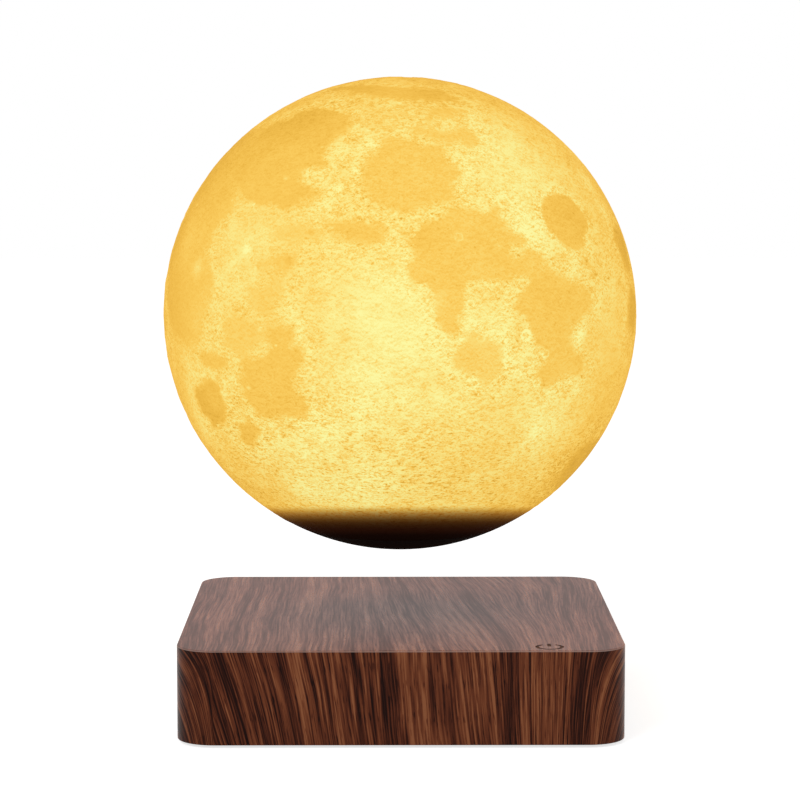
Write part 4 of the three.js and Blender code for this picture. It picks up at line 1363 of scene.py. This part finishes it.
@dataclass
class Globe:
    """The printed moon: its shell with a real relief, and the cap that closes it at the bottom."""

    centre: Vector
    radius: float
    opening_radius: float
    opening_gap: float
    moon_map: MoonMap
    wall: float = 1.8 * MM
    relief: float = 0.2 * MM
    sea_depth_share: float = 0.35
    sink: float = 0.1 * MM
    smooth_border: float = math.radians(16)
    sides: int = 512
    rings: int = 178
    inner_rings: int = 10
    plug_sides: int = 128
    plug_rings: int = 14
    plug_inset: float = 0.4 * MM

    def sphere(self, radius: float, rings: int) -> np.ndarray:
        """Unit vectors of rings from the opening's rim up to the pole, and the pole.

        Args:
            radius: The sphere's radius, on which the rim's latitude depends.
            rings: The number of rings.

        Returns:
            One row each.
        """
        latitudes = np.linspace(-math.acos(self.opening_radius / radius), QUARTER_TURN, rings + 1)[:-1]
        longitudes = np.arange(self.sides) * FULL_TURN / self.sides
        lat, lon = np.meshgrid(latitudes, longitudes, indexing="ij")
        points = np.stack([np.cos(lat) * np.cos(lon), np.cos(lat) * np.sin(lon), np.sin(lat)], -1)
        return np.vstack([points.reshape(-1, 3), [[0, 0, 1]]])

    def build_shell(self) -> Object:
        """Builds the shell as one closed body, with the map's fields on its points.

        Returns:
            The shell, in place.
        """
        outside = self.sphere(self.radius, self.rings)
        sea, sea_level = self.moon_map.seas(outside)
        heights, rims = self.moon_map.relief(outside, sea)
        rim = -math.acos(self.opening_radius / self.radius)
        rise = np.clip((np.arcsin(outside[:, 2]) - rim) / self.smooth_border, 0, 1)
        lift = self.relief * (heights - self.sea_depth_share * np.clip(sea / 4, 0, 1)) * rise
        outer = outside * (self.radius - self.sink + lift)[:, None]
        inner_radius = self.radius - self.wall
        inner = self.sphere(inner_radius, self.inner_rings) * inner_radius
        shell = new_object("printed_moon_shell", np.vstack([outer, inner]) + np.array(self.centre),
                           self.shell_faces(len(outer)))
        fields = {"sea": sea, "sea_level": sea_level, "land_level": self.moon_map.land(outside),
                  "rim": rims, "roughness": self.moon_map.roughness(outside)}
        for name, values in fields.items():
            attribute = shell.data.attributes.new(name, "FLOAT", "POINT")
            padded = np.append(values, np.zeros(len(inner))).astype(np.float32)
            attribute.data.foreach_set("value", padded)
        smooth(shell, math.radians(60))
        return shell

    def shell_faces(self, first_inner: int) -> list[list[int]]:
        """Faces of the outside, the inside and the lip of the opening.

        Args:
            first_inner: The number of the first point of the inside.

        Returns:
            Corner numbers of each face.
        """
        sides = self.sides
        faces = ring_faces(self.rings, sides).tolist()
        faces += ring_faces(self.inner_rings, sides, first_inner)[:, ::-1].tolist()
        top, inner_top = first_inner - 1, first_inner + self.inner_rings * sides
        last, inner_last = top - sides, inner_top - sides
        for i in range(sides):
            j = (i + 1) % sides
            faces.append([last + i, last + j, top])
            faces.append([inner_last + j, inner_last + i, inner_top])
            faces.append([j, i, first_inner + i, first_inner + j])
        return faces

    def build_plug(self) -> Object:
        """Builds the cap in the opening, flush with the shell.

        Returns:
            The cap, in place.
        """
        edge = self.opening_radius - self.opening_gap
        rim = -math.acos(edge / self.radius)
        radius = self.radius - self.sink
        profile = arc(radius, np.linspace(-QUARTER_TURN, rim, self.plug_rings + 1))
        profile[0] = (0.0, -radius)
        top = radius * math.sin(rim)
        plug = turned("printed_bottom_cap", [*profile, (edge - self.plug_inset, top), (0.0, top)],
                      self.plug_sides)
        plug.data.transform(Matrix.Translation(self.centre))
        smooth(plug)
        return plug


@dataclass
class Case:
    """The base's case: a square shell with round corners, open below, with a sign cut into its roof."""

    low: Vector
    high: Vector
    corner_radius: float = 11.5 * MM
    wall: float = 3.0 * MM
    roof: float = 2.4 * MM
    edge_round: float = 0.25 * MM
    support: float = 1.0 * MM
    corner_steps: int = 20
    edge_steps: int = 6
    boss_radius: float = 3.5 * MM
    boss_bottom: float = 3.6 * MM
    boss_sides: int = 28
    pilot_radius: float = 1.35 * MM
    pilot_top: float = 11.2 * MM
    pilot_sides: int = 16
    sign_from_right: float = 23.05 * MM
    sign_from_front: float = 6.5 * MM
    sign_radius: float = 4.3 * MM
    sign_line: float = 1.1 * MM
    sign_depth: float = 0.32 * MM
    sign_tick: float = 4.2 * MM
    sign_tick_reach: float = 0.6 * MM
    sign_opening: float = math.radians(60)
    sign_steps: int = 61
    jack_hole_radius: float = 4.3 * MM
    jack_axis_height: float = 15.49 * MM
    jack_hole_sides: int = 48

    @property
    def half(self) -> float:
        """Half the width of the case."""
        return (self.high.x - self.low.x) / 2

    @property
    def core(self) -> float:
        """How far the middles of the round corners lie from the middle of the case."""
        return self.half - self.corner_radius

    def ring(self, inset: float, height: float) -> np.ndarray:
        """Points of a rounded square, with a point on each straight side close to each corner.

        Args:
            inset: How far the ring lies inside the outside wall.
            height: Its height.

        Returns:
            Points, anticlockwise.
        """
        points = []
        for quarter, (x, y) in enumerate(((1, 1), (-1, 1), (-1, -1), (1, -1))):
            start = quarter * QUARTER_TURN
            angles = start + np.linspace(0, QUARTER_TURN, self.corner_steps + 1)
            corner = arc(self.corner_radius - inset, angles, x * self.core, y * self.core)
            back, ahead = self.support * math.sin(start), self.support * math.cos(start)
            before = (corner[0][0] + back, corner[0][1] - ahead)
            after = (corner[-1][0] - ahead, corner[-1][1] - back)
            points += [before, *corner, after]
        return np.array([(x, y, height) for x, y in points])

    def build(self) -> Object:
        """Builds the case with its bosses, holes and sign.

        Returns:
            The case, with a material number for the film, the bare plastic and the sign.
        """
        top, bottom, ceiling = self.high.z, self.low.z, self.high.z - self.roof
        edge, support = self.edge_round, self.support
        steps = np.linspace(0, QUARTER_TURN, self.edge_steps + 1)
        levels = [(edge + support, top)]
        levels += [(edge * (1 - math.sin(a)), top - edge * (1 - math.cos(a))) for a in steps]
        levels += [(0.0, top - edge - support), (0.0, bottom + edge + support)]
        levels += [(edge * (1 - math.cos(a)), bottom + edge * (1 - math.sin(a))) for a in steps]
        levels += [(self.wall, bottom), (self.wall, ceiling - support), (self.wall, ceiling)]
        rings = [self.ring(inset, height) for inset, height in levels]
        sides = len(rings[0])
        faces = ring_faces(len(rings), sides)[:, ::-1].tolist()
        faces.append(list(range(sides)))
        faces.append(list(range((len(rings) - 1) * sides, len(rings) * sides))[::-1])
        case = new_object("walnut_film_case", np.vstack(rings), faces)
        bosses = self.corner_posts("boss", self.boss_radius, self.boss_sides, self.boss_bottom,
                                   ceiling + self.roof / 2)
        pilots = self.corner_posts("pilot", self.pilot_radius, self.pilot_sides, 0.0, self.pilot_top)
        join_or_cut(case, bosses, "UNION")
        join_or_cut(case, [*pilots, self.jack_hole(), *self.sign()], "DIFFERENCE")
        smooth(case, math.radians(40))
        self.mark_inside(case)
        return case

    def corner_posts(self, name: str, radius: float, sides: int, low: float, high: float) -> list[Object]:
        """Four upright rods in the corners: the screw bosses, or the screw holes up their middles.

        Args:
            name: The rods' name.
            radius: Their radius.
            sides: Facets round the axis.
            low: Height of the lower end.
            high: Height of the upper end.

        Returns:
            The four rods.
        """
        return [prism(name, circle(radius, sides, x * self.core, y * self.core), low, high)
                for x in (-1, 1) for y in (-1, 1)]

    def jack_hole(self) -> Object:
        """The hole in the back wall for the power jack.

        Returns:
            The solid that gets cut out.
        """
        hole = prism("jack_hole", circle(self.jack_hole_radius, self.jack_hole_sides),
                     -self.half - self.support, self.support + self.wall - self.half)
        hole.data.transform(Matrix.Rotation(QUARTER_TURN, 4, "X"))
        hole.data.transform(Matrix.Translation((0, 0, self.jack_axis_height)))
        return hole

    def sign(self) -> list[Object]:
        """The power sign: a ring that is open at the back, with a tick in the opening.

        Returns:
            The solids that get cut out.
        """
        x, y = self.half - self.sign_from_right, self.sign_from_front - self.half
        start = QUARTER_TURN + self.sign_opening / 2
        angles = np.linspace(start, start + FULL_TURN - self.sign_opening, self.sign_steps)
        outline = arc(self.sign_radius, angles, x, y)
        outline += arc(self.sign_radius - self.sign_line, angles[::-1], x, y)
        tick_top = y + self.sign_radius + self.sign_tick_reach
        tick = [(x + sx * self.sign_line / 2, tick_top - sy * self.sign_tick)
                for sx, sy in ((-1, 1), (1, 1), (1, 0), (-1, 0))]
        floor, above = self.high.z - self.sign_depth, self.high.z + self.support
        return [prism("sign_ring", outline, floor, above), prism("sign_tick", tick, floor, above)]

    def mark_inside(self, case: Object) -> None:
        """The film covers only the outside. The inside gets the second material, the sign the third."""
        for face in case.data.polygons:
            x, y, z = face.center
            reach = math.hypot(max(abs(x) - self.core, 0.0), max(abs(y) - self.core, 0.0))
            inside = reach < self.corner_radius - self.wall * 0.45
            if inside and z < self.high.z - self.sign_depth * 0.4:
                face.material_index = 1 if z < self.high.z - self.roof / 2 else 2


@dataclass
class PowerJack:
    """The jack in the back wall: its housing with a round nose, and the pin in the bore."""

    housing_low: Vector
    housing_high: Vector
    pin_low: Vector
    pin_high: Vector
    axis_height: float = 15.49 * MM
    nose_radius: float = 4.0 * MM
    nose_reach: float = 2.9 * MM
    bore_radius: float = 3.15 * MM
    bore_depth: float = 9.5 * MM
    nose_round: float = 0.3 * MM
    sides: int = 48
    pin_sides: int = 24
    tip_steps: int = 6

    def along_y(self, name: str, profile: Pairs, sides: int) -> Object:
        """Revolves a profile about the jack's axis.

        Args:
            name: The object's name.
            profile: Radius and depth pairs along the axis.
            sides: Facets round the axis.

        Returns:
            The solid, in place.
        """
        obj = turned(name, profile, sides)
        obj.data.transform(Matrix.Rotation(-QUARTER_TURN, 4, "X"))
        obj.data.transform(Matrix.Translation((0, 0, self.axis_height)))
        return obj

    def build_housing(self) -> Object:
        """A square body with its round nose and bore.

        Returns:
            The housing, in place.
        """
        face, edge = self.housing_high.y, self.nose_round
        shoulder = face - self.nose_reach
        half = (self.housing_high.x - self.housing_low.x) / 2
        corners = [(-half, self.housing_low.y), (half, self.housing_low.y), (half, shoulder),
                   (-half, shoulder)]
        housing = prism("power_jack", corners, self.housing_low.z, self.housing_high.z)
        nose = self.along_y("nose", [
            (0, shoulder - edge), (self.nose_radius, shoulder - edge), (self.nose_radius, face - edge),
            (self.nose_radius - edge, face), (0, face)], self.sides)
        bore = self.along_y("bore", [
            (0, face - self.bore_depth), (self.bore_radius, face - self.bore_depth),
            (self.bore_radius, face + edge), (0, face + edge)], self.sides)
        join_or_cut(housing, [nose], "UNION")
        join_or_cut(housing, [bore], "DIFFERENCE")
        smooth(housing)
        return housing

    def build_pin(self) -> Object:
        """The centre pin, with a round tip.

        Returns:
            The pin, in place.
        """
        radius = (self.pin_high.x - self.pin_low.x) / 2
        angles = np.linspace(0, QUARTER_TURN, self.tip_steps + 1)[:-1]
        pin = self.along_y("power_jack_centre_pin", [
            (0, self.pin_low.y), (radius, self.pin_low.y),
            *arc(radius, angles, y=self.pin_high.y - radius), (0, self.pin_high.y)], self.pin_sides)
        smooth(pin)
        return pin


@dataclass
class Foot:
    """A round rubber foot in a recess of the bottom plate, with a shallow dish in its sole."""

    edge_round: float = 0.4 * MM
    dish_radius_share: float = 0.55
    dish_depth: float = 0.25 * MM
    sides: int = 56

    def build(self, name: str) -> Object:
        """Builds the foot that stands for one CAD node.

        Args:
            name: The name of the CAD node.

        Returns:
            The foot, in place.
        """
        low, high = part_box(name)
        radius, edge = (high.x - low.x) / 2, self.edge_round
        dish = radius * self.dish_radius_share
        foot = turned("dressed_" + name, [
            (0, self.dish_depth), (dish - edge, self.dish_depth), (dish, 0), (radius - edge, 0),
            (radius - edge * 0.3, edge * 0.3), (radius, edge), (radius, high.z), (0, high.z)], self.sides)
        middle = (low + high) / 2
        foot.data.transform(Matrix.Translation((middle.x, middle.y, 0)))
        smooth(foot)
        return foot


class Wardrobe:
    """The finishes of all pieces, each named for the real material and how it was made."""

    # Acrylonitrile butadiene styrene, moulded: dark, even and dull, with a fine spark texture
    black_abs = Moulded("moulded_black_abs", "1D1C1B", 0.55)
    # The same plastic on the hidden side of the case
    case_abs = Moulded("moulded_brown_abs", "3A2A22", 0.6)
    # The film where the power sign is burnt in by laser: dark brown and dull
    burnt_film = Moulded("laser_burnt_film", "755D55", 0.95, ior=1.05, texture_depth_mm=0.01)
    # Rubber, pressed: almost black and without shine
    rubber = Moulded("pressed_black_rubber", "161615", 0.85, texture_mm=0.3, texture_depth_mm=0.04)
    # Nylon, moulded in its natural colour: milky and slightly waxy
    nylon = Moulded("moulded_natural_nylon", "E2DBCB", 0.42, ior=1.53, tint_share=0.92)
    # Silicone, cast: soft grey with a dull skin
    silicone = Moulded("cast_grey_silicone", "77787A", 0.65, ior=1.41)
    # Opal polycarbonate, moulded: white and milky, so that it spreads the light
    opal = Moulded("moulded_opal_polycarbonate", "F0ECE0", 0.35, ior=1.58, tint_share=0.95)
    # Epoxy, moulded round a chip: charcoal with a fine matt texture
    epoxy = Moulded("moulded_black_epoxy", "202022", 0.5, texture_mm=0.25)
    # Shrunk sleeve of a capacitor: smooth, dark blue-grey
    sleeve = Moulded("shrunk_capacitor_sleeve", "262A38", 0.3, texture_depth_mm=0.005)
    # White solder mask on the lamp's aluminium board
    white_mask = Moulded("printed_white_solder_mask", "E8E8E2", 0.35, texture_depth_mm=0.01)
    # Zinc-plated steel, cold headed: bright, bluish and faintly cloudy
    zinc = Metal("zinc_plated_steel", "B9BDC2", 0.32, turned_lines=False)
    # Soft iron, cut from drawn bar: grey with turning lines
    iron = Metal("turned_soft_iron", "8B8D90", 0.42)
    # Nickel plate on steel or on a magnet: bright with a warm cast
    nickel = Metal("nickel_plated_steel", "C9C5BC", 0.18, turned_lines=False)
    # Aluminium, turned: pale with level tool lines
    aluminium = Metal("turned_aluminium", "C6C9CC", 0.3)
    # Copper foil, rolled and glued under the roof
    foil = Metal("rolled_copper_foil", "C4814F", 0.25, turned_lines=False)
    # Enamelled copper, wound on spools: turns of 0.5 mm wire, drawn as wide as they need to show
    spool_wire = Wound("wound_enamelled_copper", "B5642E", "5A2A12", wire_mm=0.5)
    # The flat coils are wound from thicker stranded wire
    flat_wire = Wound("flat_wound_enamelled_copper", "BA6A33", "5A2A12", wire_mm=0.9, flat_coil=True)
    # Glass epoxy under green solder mask
    board = SolderMask("solder_masked_glass_epoxy", "174A2F", "2C6B45")
    # Ferrite, sintered and ground
    ferrite = Sintered("sintered_ferrite", "262628", "4A4A4E")
    # Phosphor in silicone over the light chips
    phosphor = Phosphor("cast_phosphor_silicone", "F2BE36", "FFD774")
    # PLA, printed: the cap at the bottom, where no light comes through, coloured black-brown as painted
    # shade
    shade_dark_print = Moulded("printed_cap_painted_shade", "060302", 0.8, ior=1.2, texture_mm=0.6,
                         texture_depth_mm=0.08)

    finish_of: dict[str, Finish] = {
        "bottom_plate": black_abs, "plate_screw": zinc, "coil_tray": nylon, "tray_screw": zinc,
        "ring_magnet": ferrite, "coil_bobbin": nylon, "coil_winding": spool_wire, "coil_core": iron,
        "sensor_board": board, "hall_sensor": epoxy, "control_board": board, "controller_chip": epoxy,
        "driver_chip": epoxy, "power_inductor": ferrite, "filter_capacitor": sleeve,
        "transmitter_coil": flat_wire, "touch_electrode": foil, "touch_spring": nickel,
        "magnet_carrier": black_abs, "floating_magnet": nickel, "receiver_coil": flat_wire,
        "receiver_board": board, "rectifier_chip": epoxy, "receiver_capacitor": sleeve,
        "lamp_column": aluminium, "lamp_board": white_mask, "lamp_emitter": phosphor,
        "lamp_screw": zinc, "lamp_ribbon": silicone, "diffuser_dome": opal,
    }

    def dress(self) -> None:
        """Gives every CAD node that stays its finish."""
        for name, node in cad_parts.items():
            matches = [finish for stem, finish in self.finish_of.items() if name.startswith(stem)]
            if node.hide_render or not matches:
                continue
            for slot in node.material_slots:
                slot.material = matches[0].material()
            log.info("%s: dressed in %s", name, matches[0].name)


@dataclass(frozen=True)
class PaintedFloor(Finish):
    """Matt white paint. Seen directly or in a reflection it is white, and it keeps the lamp's shadow."""

    paint_colour: str = "E6E6E6"
    grain_share: float = 0.98
    grain_mm: float = 25.0
    fill: float = 0.7

    def paint(self, nodes: Nodes, surface: Node) -> None:
        """The fill is light that only a view or a reflection of the floor sees.

        Args:
            nodes: The material's nodes.
            surface: Its Principled shader, whose inputs get filled.
        """
        grain = nodes.add("TexNoise", {"Vector": nodes.place, "Scale": 1 / (self.grain_mm * MM),
                                       "Detail": 2.0})
        dull, white = linear(self.paint_colour, self.grain_share), linear(self.paint_colour)
        colour = nodes.add("Mix", {0: grain, 6: dull, 7: white}, data_type="RGBA")
        seen = nodes.add("Math", seen_rays(nodes), self.fill, operation="MULTIPLY")
        nodes.fill(surface, {"Base Color": colour, "Roughness": 1.0, "Specular IOR Level": 0.0,
                             "Emission Color": (1.0, 1.0, 1.0, 1.0), "Emission Strength": seen})


def seen_rays(nodes: Nodes) -> Node:
    """Finds the rays that show the room, as opposed to the rays that light the object.

    Args:
        nodes: The nodes of a material or a world.

    Returns:
        One for camera, glossy and transmission rays, and zero for the others.
    """
    path = nodes.add("LightPath")
    shiny = nodes.add("Math", path.outputs["Is Glossy Ray"], path.outputs["Is Transmission Ray"],
                      operation="MAXIMUM")
    return nodes.add("Math", path.outputs["Is Camera Ray"], shiny, operation="MAXIMUM")


@dataclass
class Studio:
    """A pale floor and soft, plain studio light in a white room."""

    floor_half: float = 3.0
    world_fill: float = 0.42
    backdrop: float = 1.0
    key_place: Point = (-0.75, -1.05, 0.95)
    key_watts: float = 8.5
    fill_place: Point = (0.95, -0.9, 0.45)
    fill_watts: float = 3.2
    light_side: float = 0.8
    aim: Point = (0.0, 0.0, 0.1)

    def build(self) -> None:
        """Builds the floor, the world and the lamps, and sets the view transform."""
        half = self.floor_half
        corners = np.array([(-half, -half, 0), (half, -half, 0), (half, half, 0), (-half, half, 0)])
        floor = new_object("studio_floor", corners, [(0, 1, 2, 3)])
        put_on(floor, PaintedFloor("painted_studio_floor"))
        self.light("key_light", self.key_place, self.key_watts)
        self.light("fill_light", self.fill_place, self.fill_watts)
        self.world()
        bpy.context.scene.view_settings.view_transform = "Standard"
        log.info("studio: floor, world and two lights")

    def light(self, name: str, place: Point, watts: float) -> None:
        """Makes a square soft light that points at the lamp.

        Args:
            name: The light's name.
            place: Where it hangs.
            watts: Its power.
        """
        data = bpy.data.lights.new(name, "AREA")
        data.shape, data.size, data.energy = "SQUARE", self.light_side, watts
        light = bpy.data.objects.new(name, data)
        light.location = place
        light.rotation_euler = (Vector(self.aim) - Vector(place)).to_track_quat("-Z", "Y").to_euler()
        bpy.context.scene.collection.objects.link(light)

    def world(self) -> None:
        """A white room for what is seen or mirrored, and an even fill for the rest."""
        world = bpy.data.worlds.new("studio_world")
        bpy.context.scene.world = world
        world.use_nodes = True
        nodes = Nodes(world.node_tree)
        level = nodes.add("Mix", {0: seen_rays(nodes), 2: self.world_fill, 3: self.backdrop},
                          data_type="FLOAT")
        nodes.fill(world.node_tree.nodes["Background"], {"Color": level})


def build_base() -> None:
    """Builds and dresses the case, the feet and the power jack."""
    low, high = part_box("base_case")
    case = Case(low, high)
    film = WalnutFilm("vacuum_drawn_walnut_film", case.core, high.z)
    shell = case.build()
    put_on(shell, film, Wardrobe.case_abs, Wardrobe.burnt_film)
    settle(shell, Body.BASE, "base_case")
    jack = PowerJack(*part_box("power_jack_housing"), *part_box("power_jack_pin"))
    housing, pin = jack.build_housing(), jack.build_pin()
    put_on(housing, Wardrobe.black_abs)
    put_on(pin, Wardrobe.nickel)
    settle(housing, Body.BASE, "power_jack_housing")
    settle(pin, Body.BASE, "power_jack_pin")
    for number in range(1, 5):
        name = f"rubber_foot_{number}"
        foot = Foot().build(name)
        put_on(foot, Wardrobe.rubber)
        settle(foot, Body.BASE, name)


def build_globe(camera: PhotoCamera) -> None:
    """Builds and dresses the printed moon.

    Args:
        camera: The photograph's camera, which lays the photograph's pixels on the globe.
    """
    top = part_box("moon_shell")[1].z
    plug_low, plug_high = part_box("bottom_plug")
    radius, gap = (top - plug_low.z) / 2, 0.1 * MM
    centre = Vector((0.0, 0.0, plug_low.z + radius))
    moon_map = MoonMap(camera, centre, radius)
    globe = Globe(centre, radius, (plug_high.x - plug_low.x) / 2 + gap, gap, moon_map)
    shell, plug = globe.build_shell(), globe.build_plug()
    put_on(shell, LitPrint("lit_white_pla_print", centre.z, moon_map.spots()))
    put_on(plug, Wardrobe.shade_dark_print)
    settle(shell, Body.MOON, "moon_shell")
    settle(plug, Body.MOON, "bottom_plug")


def main() -> None:
    """Builds the studio, the base and the globe, and dresses the nodes that stay."""
    logging.basicConfig(level=logging.INFO, format="%(message)s")
    camera = PhotoCamera()
    camera.build()
    Studio().build()
    build_base()
    build_globe(camera)
    Wardrobe().dress()


if __name__ == "__main__":
    main()
